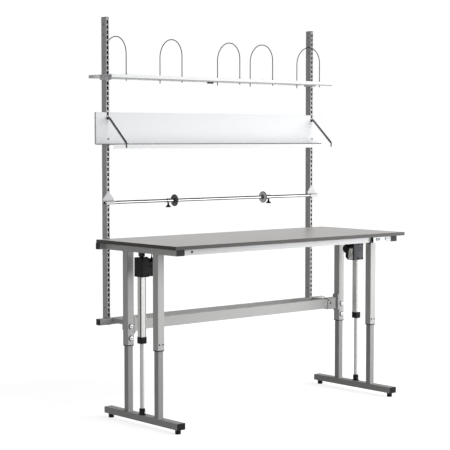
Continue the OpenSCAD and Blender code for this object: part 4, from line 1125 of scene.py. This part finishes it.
@dataclass
class GearboxDetail(LiftPlaces):
    """What stands out on a gearbox, with the pin of the fork above it."""

    pin_z: float = 1.0555
    pin_gap: float = 0.003
    seam_y: float = 0.006
    seam_half: float = 0.0012
    seam_edge: float = 0.0004
    seam_gap: float = 0.004
    rise: float = 0.0008
    rib_places: tuple[float, ...] = (0.034, 0.045, 0.056)
    rib_inset: float = 0.007
    rib_rise: float = 0.0010
    rib_t: float = 0.0028
    rib_edge: float = 0.0005
    lug_half: Pair = (0.008, 0.012)
    eye_r: float = 0.012
    eye_half: float = 0.008
    screw_boss: Boss = Boss(0.0068, 0.0018, 0.0008, 0.0006, 24)
    screw_inset: Pair = (0.009, 0.011)
    screw: Pair = (0.0075, 0.0026)
    screw_out: Pair = (0.0004, 0.0021)
    end_boss: Boss = Boss(0.0135, 0.0022, 0.0010, 0.0008, 32)
    fork_pin: Boss = Boss(0.0072, 0.0022, 0.0010, 0.0008, 28)
    fork_half: float = 0.0122

    def add(self, gears: Shape, metal: Shape, sign: int) -> None:
        """Adds the seam, screws, ribs, end boss and lug of a gearbox.

        Args:
            gears: shape of the ribs and the lugs.
            metal: shape of the screws.
            sign: side of the table.
        """
        x, y = sign * self.axis_x, self.axis_y
        hx, hy, rise = self.gear_half_x, self.gear_half_y, self.rise
        low, high = self.gear_bottom, self.gear_top
        seam = y + self.seam_y
        bottom, top = low + self.seam_gap, high - self.seam_gap
        half = hx - self.inset
        for x0, x1, z0, z1 in ((-hx - rise, -hx + self.overlap, bottom, top),
                               (hx - self.overlap, hx + rise, bottom, top),
                               (-half, half, high - self.overlap, high + rise)):
            gears.block((x + x0, seam - self.seam_half, z0), (x + x1, seam + self.seam_half, z1),
                        self.seam_edge)
        inset_x, inset_z = self.screw_inset
        front, (boss_out, head_out) = y - hy, self.screw_out
        for z in (low + inset_z, high - inset_z):
            for dx in (inset_x - hx, hx - inset_x):
                gears.boss(self.screw_boss, (x + dx, front - boss_out, z), Toward.FRONT)
                metal.socket_head(*self.screw, (x + dx, front - head_out, z), Toward.FRONT)
        wide = hx - self.rib_inset
        for below in self.rib_places:
            z = high - below
            gears.block((x - wide, front - self.rib_rise, z),
                        (x + wide, front + self.overlap, z + self.rib_t), self.rib_edge)
        gears.boss(self.end_boss, (x + sign * (hx - rise), y, self.motor_z),
                   Toward.RIGHT if sign > 0 else Toward.LEFT)
        wide, deep = self.lug_half
        gears.block((x - wide, y - deep, high - self.overlap),
                    (x + wide, y + deep, self.pin_z + self.pin_gap), self.inset)
        r, half = self.eye_r, self.eye_half
        gears.turned([(0.0, -half), (r, -half), (r, half), (0.0, half)],
                     (x, y, self.pin_z - self.pin_gap), Toward.RIGHT, steps=32)

    def add_pin(self, metal: Shape, sign: int) -> None:
        """Adds the heads of the pin through the top fork.

        Args:
            metal: shape of the screws.
            sign: side of the table.
        """
        x = sign * self.axis_x
        for toward, edge in ((Toward.RIGHT, 1), (Toward.LEFT, -1)):
            metal.boss(self.fork_pin, (x + edge * self.fork_half, self.axis_y, self.pin_z), toward)


@dataclass
class MotorDetail(LiftPlaces):
    """Motor barrel with its screws and cable gland, and what stands out on its connector box."""

    motor_r: float = 0.0315
    motor_l: float = 0.088
    flange: Outline = ((0.0, 0.0070), (0.0012, 0.0080), (0.0012, 0.0100), (0.0004, 0.0108))
    band: Outline = ((0.0004, 0.70), (0.0016, 0.71), (0.0016, 0.73), (0.0004, 0.74))
    end_cap: Outline = ((0.0006, 0.010), (0.0020, 0.0055), (0.0048, 0.0022), (0.0085, 0.0004),
                        (0.0110, 0.0))
    dish: tuple[float, float, float] = (0.0105, 0.0100, 0.0006)
    end_screw: Pair = (0.0070, 0.0024)
    end_screw_ring: float = 0.0085
    end_screw_sunk: float = 0.0012
    end_screw_turn: float = 0.9
    gland_off: float = 0.045
    gland: Pair = (0.0108, 0.0048)
    gland_turn: float = 0.2
    gland_ring: Boss = Boss(0.0050, 0.0050, 0.0010, 0.0015, 24)
    gland_ring_z: float = 0.004
    box_l: float = 0.066
    box_h: float = 0.046
    box_half: float = 0.020
    box_edge: float = 0.0008
    saddle_inset: Pair = (0.001, 0.0012)
    saddle_z: Pair = (-0.004, 0.0105)
    socket_half: float = 0.013
    socket_z: Pair = (0.016, 0.034)
    socket_steps: Outline = ((0.0, 0.0012), (0.003, 0.0022))
    socket_off: float = 0.036

    def add(self, motors: Shape, metal: Shape, sign: int) -> None:
        """Adds a motor barrel with flange, band, end cap, two end screws and gland.

        Args:
            motors: shape of the motors.
            metal: shape of the screws.
            sign: side of the table.
        """
        inward = Toward.LEFT if sign > 0 else Toward.RIGHT
        root = sign * (self.axis_x - self.gear_half_x)
        r, length = self.motor_r, self.motor_l
        wide, narrow, deep = self.dish
        motors.turned([
            (0.0, -self.inset), (r, -self.inset),
            *[(r - inset, along) for inset, along in self.flange],
            *[(r - inset, length * share) for inset, share in self.band],
            *[(r - inset, length - back) for inset, back in self.end_cap],
            (wide, length), (narrow, length - deep), (0.0, length - deep)],
            (root, self.motor_y, self.motor_z), inward, steps=56)
        ring, x = r - self.end_screw_ring, root - sign * (length - self.end_screw_sunk)
        for turn in (self.end_screw_turn, self.end_screw_turn + math.pi):
            y = self.motor_y + ring * math.cos(turn)
            z = self.motor_z + ring * math.sin(turn)
            metal.socket_head(*self.end_screw, (x, y, z), inward)
        x, y, z = root - sign * self.gland_off, self.motor_y, self.motor_z + r - self.inset
        motors.hexagon(*self.gland, (x, y, z), Toward.UP, self.gland_turn)
        motors.boss(self.gland_ring, (x, y, z + self.gland_ring_z), Toward.UP)

    def add_box(self, boxes: Shape, sign: int) -> None:
        """Adds the saddle between a motor and its connector box, and the box's socket.

        Args:
            boxes: shape of the saddles and sockets.
            sign: side of the table.
        """
        root, low = self.axis_x - self.gear_half_x, self.gear_bottom
        inset, end_inset = self.saddle_inset
        x0, x1 = sorted((sign * (root + inset), sign * (root - self.box_l + end_inset)))
        half, top = self.box_half - inset, low + self.box_h
        boxes.block((x0, self.motor_y - half, top + self.saddle_z[0]),
                    (x1, self.motor_y + half, top + self.saddle_z[1]), self.box_edge)
        face, centre = self.motor_y - self.box_half, sign * (root - self.socket_off)
        for inset, proud in self.socket_steps:
            wide = self.socket_half - inset
            boxes.block((centre - wide, face - proud, low + self.socket_z[0] + inset),
                        (centre + wide, face + self.overlap, low + self.socket_z[1] - inset),
                        self.box_edge)


@dataclass
class PlugCovers(LiftPlaces):
    """Side plate and pale plug cover on one long side of each motor."""

    cover_x: Pair = (0.835, 0.869)
    cover_z: Pair = (0.929, 1.006)
    cover_t: float = 0.014
    cover_edge: float = 0.004
    cover_proud: float = 0.0006
    mark_t: float = 0.0004
    mark_spans: tuple[tuple[Pair, Pair], ...] = (
        ((-0.0105, -0.0065), (0.020, 0.058)), ((0.0040, 0.0080), (0.014, 0.044)))
    plate_x: Pair = (0.877, 0.930)
    plate_edge: float = 0.003

    def build(self) -> None:
        """Builds the covers with their dark slots, and the plates."""
        covers, marks, plates = Shape(), Shape(), Shape()
        low = self.cover_z[0]
        for _, sign in SIDES:
            face = self.axis_y - sign * (self.gear_half_y - self.cover_proud)
            y0, y1 = sorted((face, face + sign * self.cover_t))
            x0, x1 = sorted(sign * x for x in self.cover_x)
            covers.block((x0, y0, low), (x1, y1, self.cover_z[1]), self.cover_edge, 3)
            middle = (x0 + x1) / 2
            x0, x1 = sorted(sign * x for x in self.plate_x)
            plates.block((x0, y0, self.gear_bottom + self.inset),
                         (x1, y1, self.gear_top - self.inset), self.plate_edge, 3)
            y0, y1 = sorted((face - sign * self.mark_t, face + 3 * sign * self.mark_t))
            for (left, right), (bottom, top) in self.mark_spans:
                marks.block((middle + left, y0, low + bottom), (middle + right, y1, low + top))
        covers.put("plug_covers", COVER_GREY, "frame")
        marks.put("cover_slots", BLACK_MOULDED, "frame")
        plates.put("gearbox_plates", SLATE_MOULDED, "frame")


@dataclass
class RodBoots(LiftPlaces):
    """Black end piece of each push rod, with the head of its pin."""

    boot: Boss = Boss(0.0165, 0.0415, 0.001, 0.003, 40)
    boot_gap: float = 0.0006
    boot_pin: Boss = Boss(0.0062, 0.0040, 0.0012, 0.0010, 28)
    boot_pin_at: Pair = (0.0085, 0.016)

    def build(self) -> None:
        """Builds the boots and the pins."""
        aside, above = self.boot_pin_at
        for side, sign in SIDES:
            x, y, z = sign * self.axis_x, self.axis_y, self.base_top
            Shape().boss(self.boot, (x, y, z + self.boot_gap), Toward.UP).put(
                f"{side}_rod_boot", BLACK_MOULDED, f"{side}_base")
            seat = (x + aside, y - self.boot.radius + self.boot.cut, z + above)
            Shape().boss(self.boot_pin, seat, Toward.FRONT).put(
                f"{side}_boot_pin", ROD_STEEL, f"{side}_base")


@dataclass
class Lift(LiftPlaces):
    """Electric actuator at each end: gearbox, motor, profile, rod and forks."""

    profile_half: float = 0.020
    groove_wall: float = 0.0008
    front_wall: float = 0.0035
    plain_side: float = 0.010
    front_margin: float = 0.0005
    rod_end_z: float = 0.1085

    def build(self) -> None:
        """Builds both actuators."""
        # The grooves are painted dark as shade, except on the front and on the right profile's
        # inner side, which stays pale as painted light.
        carry_over("actuator_profiles", ANODISED, Rounding.ROD, (GROOVE_SHADE, self._in_shaded_groove))
        carry_over("actuator_collars", BLACK_MOULDED, Rounding.PLUG)
        carry_over("actuator_top_brackets", SCREW_BLACK, Rounding.SOLID)
        dress(ROD_STEEL, "lead_screws")
        for side, _ in SIDES:
            carry_over(f"{side}_push_rod", ROD_STEEL, Rounding.ROD,
                       (BLACK_MOULDED, lambda spot: spot.z < self.rod_end_z))
            carry_over(f"{side}_rod_foot", SCREW_BLACK, Rounding.SOLID)
        carry_over("gearbox_housings", BLACK_MOULDED, Rounding.CAST,
                   (SLATE_MOULDED, self._on_front))
        gears, motors, boxes, metal = Shape(), Shape(), Shape(), Shape()
        gearbox, motor = GearboxDetail(), MotorDetail()
        for _, sign in SIDES:
            gearbox.add(gears, metal, sign)
            motor.add(motors, metal, sign)
            motor.add_box(boxes, sign)
            gearbox.add_pin(metal, sign)
        gears.put("gearbox_ribs", BLACK_MOULDED, "frame")
        boxes.put("connector_sockets", BLACK_MOULDED, "frame")
        PlugCovers().build()
        RodBoots().build()
        motors.put("motor_barrels", BLACK_MOULDED, "frame", ["drive_motors"])
        metal.put("lift_screws", SCREW_BLACK, "frame")

    def _on_front(self, spot: Vector) -> bool:
        """Whether a face's middle lies on the front of the right gearbox."""
        return spot.x > 0 and spot.y < self.axis_y - self.gear_half_y + self.front_margin

    def _in_shaded_groove(self, spot: Vector) -> bool:
        """Whether a face's middle lies in a groove that gets painted shade.

        Args:
            spot: the face's middle.

        Returns:
            True in a groove, other than the front ones and those on the right one's inner side,
            which stay pale as painted light.
        """
        across, along = abs(abs(spot.x) - self.axis_x), spot.y - self.axis_y
        if 0.0 < spot.x < self.axis_x - self.plain_side:
            return False
        return (across < self.profile_half - self.groove_wall
                and self.front_wall - self.profile_half < along < self.profile_half)


@dataclass
class Controls:
    """Control box, handset with two buttons, cables and clips."""

    button_x: Pair = (0.746, 0.768)
    button_front: float = -0.441
    button_z: float = 1.092
    arrow: float = 0.0030
    arrow_foot_share: float = 0.7
    arrow_sunk: float = 0.0002
    arrow_t: float = 0.0006
    rim: float = 0.0078
    rim_front: float = -0.4394
    rim_t: float = 0.0010
    box_half: float = 0.110
    box_y: Pair = (-0.119, -0.019)
    end_plug_half: float = 0.014
    end_plug_z: Pair = (1.078, 1.100)
    front_plug_x: Pair = (0.028, 0.048)
    front_plug_z: Pair = (1.080, 1.098)
    plug_out: float = 0.012
    plug_in: float = 0.002
    plug_edge: float = 0.0015

    def build(self) -> None:
        """Builds the controls."""
        carry_over("control_box", BLACK_MOULDED, Rounding.BOX)
        carry_over("control_boards", BOARD_GREEN, Rounding.NONE)
        carry_over("control_cables", CABLE_JACKET, Rounding.NONE)
        carry_over("cable_clips", PALE_MOULDED, Rounding.CASE)
        carry_over("handset_case", BLACK_MOULDED, Rounding.CASE)
        carry_over("handset_faceplate", PALE_MOULDED)
        rims = Shape()
        for name, x, turn in (("up", self.button_x[0], 0.0), ("down", self.button_x[1], math.pi)):
            carry_over(f"{name}_button", BUTTON_GREY, Rounding.SOLID)
            half = self.rim
            rims.block((x - half, self.rim_front, self.button_z - half),
                       (x + half, self.rim_front + self.rim_t, self.button_z + half))
            self._arrow(name, x, turn)
        rims.put("button_rims", PLUG_GREY, "frame")
        self._sockets()

    def _arrow(self, name: str, x: float, turn: float) -> None:
        """Builds the raised arrow on a button.

        Args:
            name: name of the button's direction.
            x: middle of the button.
            turn: angle of the arrow in the button's face.
        """
        a, foot = self.arrow, -self.arrow * self.arrow_foot_share
        place = (Matrix.Translation((x, self.button_front + self.arrow_sunk, self.button_z))
                 @ Matrix.Rotation(math.pi / 2, 4, "X") @ Matrix.Rotation(turn, 4, "Z"))
        Shape().prism([(-a, foot), (a, foot), (0.0, a)], self.arrow_t, place).put(
            f"{name}_arrow", PALE_MOULDED, f"{name}_button")

    def _sockets(self) -> None:
        """Builds the plugs in the ends and the front of the control box."""
        plugs = Shape()
        front, back = self.box_y
        middle = (front + back) / 2
        for sign in (-1, 1):
            x0, x1 = sorted(sign * (self.box_half + step)
                            for step in (-self.plug_in, self.plug_out))
            plugs.block((x0, middle - self.end_plug_half, self.end_plug_z[0]),
                        (x1, middle + self.end_plug_half, self.end_plug_z[1]), self.plug_edge)
        plugs.block((self.front_plug_x[0], front - self.plug_out, self.front_plug_z[0]),
                    (self.front_plug_x[1], front + self.plug_in, self.front_plug_z[1]),
                    self.plug_edge)
        plugs.put("control_plugs", BLACK_MOULDED, "frame")


@dataclass
class LevellingFeet:
    """Levelling feet: rubber pads on threaded studs."""

    leg_x: float = 0.932
    places: tuple[tuple[str, float], ...] = (("front", -0.392), ("rear", 0.282))
    pad_r: float = 0.0175
    pad_t: float = 0.0272
    pad_foot: Pair = (0.0015, 0.0012)
    pad_edge: float = 0.0010
    stud_r: float = 0.005
    stud_l: float = 0.028
    stud_sunk: float = 0.002
    stud_end: float = 0.0006
    thread_gap: float = 0.0005
    thread_depth: float = 0.0007
    thread_pitch: float = 0.0015
    beam_bottom: float = 0.028

    def build(self) -> None:
        """Builds the four feet."""
        for side, sign in SIDES:
            for end, y in self.places:
                self._foot(f"{side}_{end}_foot", (sign * self.leg_x, y, 0.0))

    def _foot(self, node: str, centre: Point) -> None:
        """Builds a foot: its pad, and its stud with a thread.

        Args:
            node: CAD node and body of the foot.
            centre: middle of the pad on the floor.
        """
        r, t = self.pad_r, self.pad_t
        inset, rise = self.pad_foot
        pad = Shape().turned([(0.0, 0.0), (r - inset, 0.0), (r, rise), (r, t - self.pad_edge),
                              (r - self.pad_edge, t), (0.0, t)], centre, steps=40)
        pad.put(f"{node}_pad", FOOT_RUBBER, node, [node])
        steel = Shape()
        outline = [(0.0, t - self.stud_sunk), (self.stud_r - self.stud_end, t - self.stud_sunk)]
        z = t + self.thread_gap
        while z < self.beam_bottom + self.stud_l:
            outline += [(self.stud_r, z),
                        (self.stud_r - self.thread_depth, z + self.thread_pitch / 2)]
            z += self.thread_pitch
        outline.append((0.0, z))
        steel.turned(outline, centre, steps=24)
        steel.put(f"{node}_stud", ZINC, node)


# Light, floor and camera


@dataclass
class Studio:
    """Camera of the view, soft light, pale floor and white surroundings."""

    camera_place: Point = (-6.1180, -6.8223, 1.7656)
    camera_tilt: float = 86.46
    camera_heading: float = -40.84
    lens: float = 111.48
    sensor: float = 36.0
    sight: float = 200.0
    sun_from: Point = (0.33, -0.75, 0.58)
    sun_strength: float = 1.80
    sun_spread: float = 50.0
    lamp_place: Point = (3.5, -3.5, 1.25)
    lamp_aim: Point = (0.0, 0.0, 0.9)
    lamp_power: float = 176.0
    lamp_size: Pair = (4.2, 2.1)
    fill_from: Point = (-1.0, -0.25, 0.15)
    fill_strength: float = 0.16
    rim_from: Point = (0.3, 0.9, 0.35)
    rim_strength: float = 0.45
    ambient: float = 0.31
    ceiling_shade: float = 0.08
    ceiling_stops: Pair = (0.28, 0.55)
    floor_half: float = 60.0
    floor_shade: float = 0.45
    floor_glow: float = 0.75

    def build(self) -> None:
        """Sets up the view, the light, the surroundings and the floor."""
        self._camera()
        self._suns()
        self._lamp()
        self._surroundings()
        self._floor()
        bpy.context.scene.view_settings.view_transform = "Standard"

    def _camera(self) -> None:
        """Sets the camera of the main view, in front at the left."""
        data = bpy.data.cameras.new("camera")
        data.lens = self.lens
        data.sensor_width = self.sensor
        data.clip_end = self.sight
        camera = bpy.data.objects.new("camera", data)
        camera.location = self.camera_place
        camera.rotation_euler = (math.radians(self.camera_tilt), 0.0,
                                 math.radians(self.camera_heading))
        bpy.context.scene.collection.objects.link(camera)
        bpy.context.scene.camera = camera

    def _light(self, name: str, kind: str, power: float, back: Vector) -> bpy.types.Object:
        """Adds a light.

        Args:
            name: name of the light.
            kind: type of the light.
            power: its strength, in watts or for a sun in watts per square metre.
            back: direction from what it shines on to the light.

        Returns:
            The light's object.
        """
        data = bpy.data.lights.new(name, kind)
        data.energy = power
        light = bpy.data.objects.new(name, data)
        light.rotation_euler = back.to_track_quat("Z", "Y").to_euler()
        bpy.context.scene.collection.objects.link(light)
        return light

    def _suns(self) -> None:
        """Sets the broad key light in front and above, and weak lights at the left and behind.

        They light the surfaces without a highlight, which only the softbox and the room give.
        """
        for name, strength, place in (("key", self.sun_strength, self.sun_from),
                                      ("fill", self.fill_strength, self.fill_from),
                                      ("rim", self.rim_strength, self.rim_from)):
            sun = self._light(name, "SUN", strength, Vector(place))
            sun.data.angle = math.radians(self.sun_spread)
            sun.visible_glossy = False

    def _lamp(self) -> None:
        """Sets the softbox at the front right."""
        lamp = self._light("softbox", "AREA", self.lamp_power,
                           Vector(self.lamp_place) - Vector(self.lamp_aim))
        lamp.location = self.lamp_place
        lamp.data.shape = "RECTANGLE"
        lamp.data.size, lamp.data.size_y = self.lamp_size

    def _surroundings(self) -> None:
        """Makes the world: even light on the object, white where it is looked at, and white under a
        dark ceiling where it is mirrored.
        """
        world = bpy.data.worlds.new("surroundings")
        tree = empty_tree(world)
        parts = add_node(tree, "SeparateXYZ", {0: add_node(tree, "TexCoord").outputs["Generated"]})
        ceiling = add_node(tree, "ValToRGB", {"Fac": parts.outputs["Z"]})
        for stop, place, shade in zip(ceiling.color_ramp.elements, self.ceiling_stops,
                                      (1.0, self.ceiling_shade)):
            stop.position = place
            stop.color = (shade, shade, shade, 1.0)
        seen, mirrored, light = (
            add_node(tree, "Background", {"Color": colour, "Strength": strength}).outputs[0]
            for colour, strength in ((WHITE, 1.0), (ceiling.outputs["Color"], 1.0),
                                     (WHITE, self.ambient)))
        ray = add_node(tree, "LightPath").outputs
        looked = add_math(tree, "MAXIMUM", ray["Is Camera Ray"], ray["Is Transmission Ray"])
        shown = light
        for share, shade in ((ray["Is Glossy Ray"], mirrored), (looked, seen)):
            shown = add_node(tree, "MixShader", {"Fac": share, 1: shown, 2: shade}).outputs[0]
        add_node(tree, "OutputWorld", {"Surface": shown})
        bpy.context.scene.world = world

    def _floor(self) -> None:
        """Makes the pale floor, which looks white and keeps the table's shadow."""
        bm = bmesh.new()
        bmesh.ops.create_grid(bm, x_segments=1, y_segments=1, size=self.floor_half)
        mesh = bpy.data.meshes.new("floor")
        bm.to_mesh(mesh)
        bm.free()
        floor = bpy.data.objects.new("floor", mesh)
        bpy.context.scene.collection.objects.link(floor)
        material = bpy.data.materials.new("floor")
        tree = empty_tree(material)
        matt = add_node(tree, "BsdfDiffuse", {"Color": (self.floor_shade,) * 3 + (1.0,)})
        ray = add_node(tree, "LightPath").outputs
        looked = add_math(tree, "MAXIMUM", ray["Is Camera Ray"], ray["Is Glossy Ray"])
        glow = add_node(tree, "Emission",
                        {"Strength": add_math(tree, "MULTIPLY", looked, self.floor_glow)})
        both = add_node(tree, "AddShader", {0: matt.outputs[0], 1: glow.outputs[0]})
        add_node(tree, "OutputMaterial", {"Surface": both.outputs[0]})
        mesh.materials.append(material)


def main() -> None:
    """Builds and dresses the sub-assemblies in order, then sets up the studio."""
    logging.basicConfig(level=logging.INFO, format="%(message)s")
    for part in (Worktop(), LegFrames(), LegBolts(), FrameLinks(), Uprights(), MiddleShelf(),
                 DividerShelf(), RollHolder(), Lift(), Controls(), LevellingFeet(), Studio()):
        part.build()
        LOG.info("%s is built", type(part).__name__)


if __name__ == "__main__":
    main()
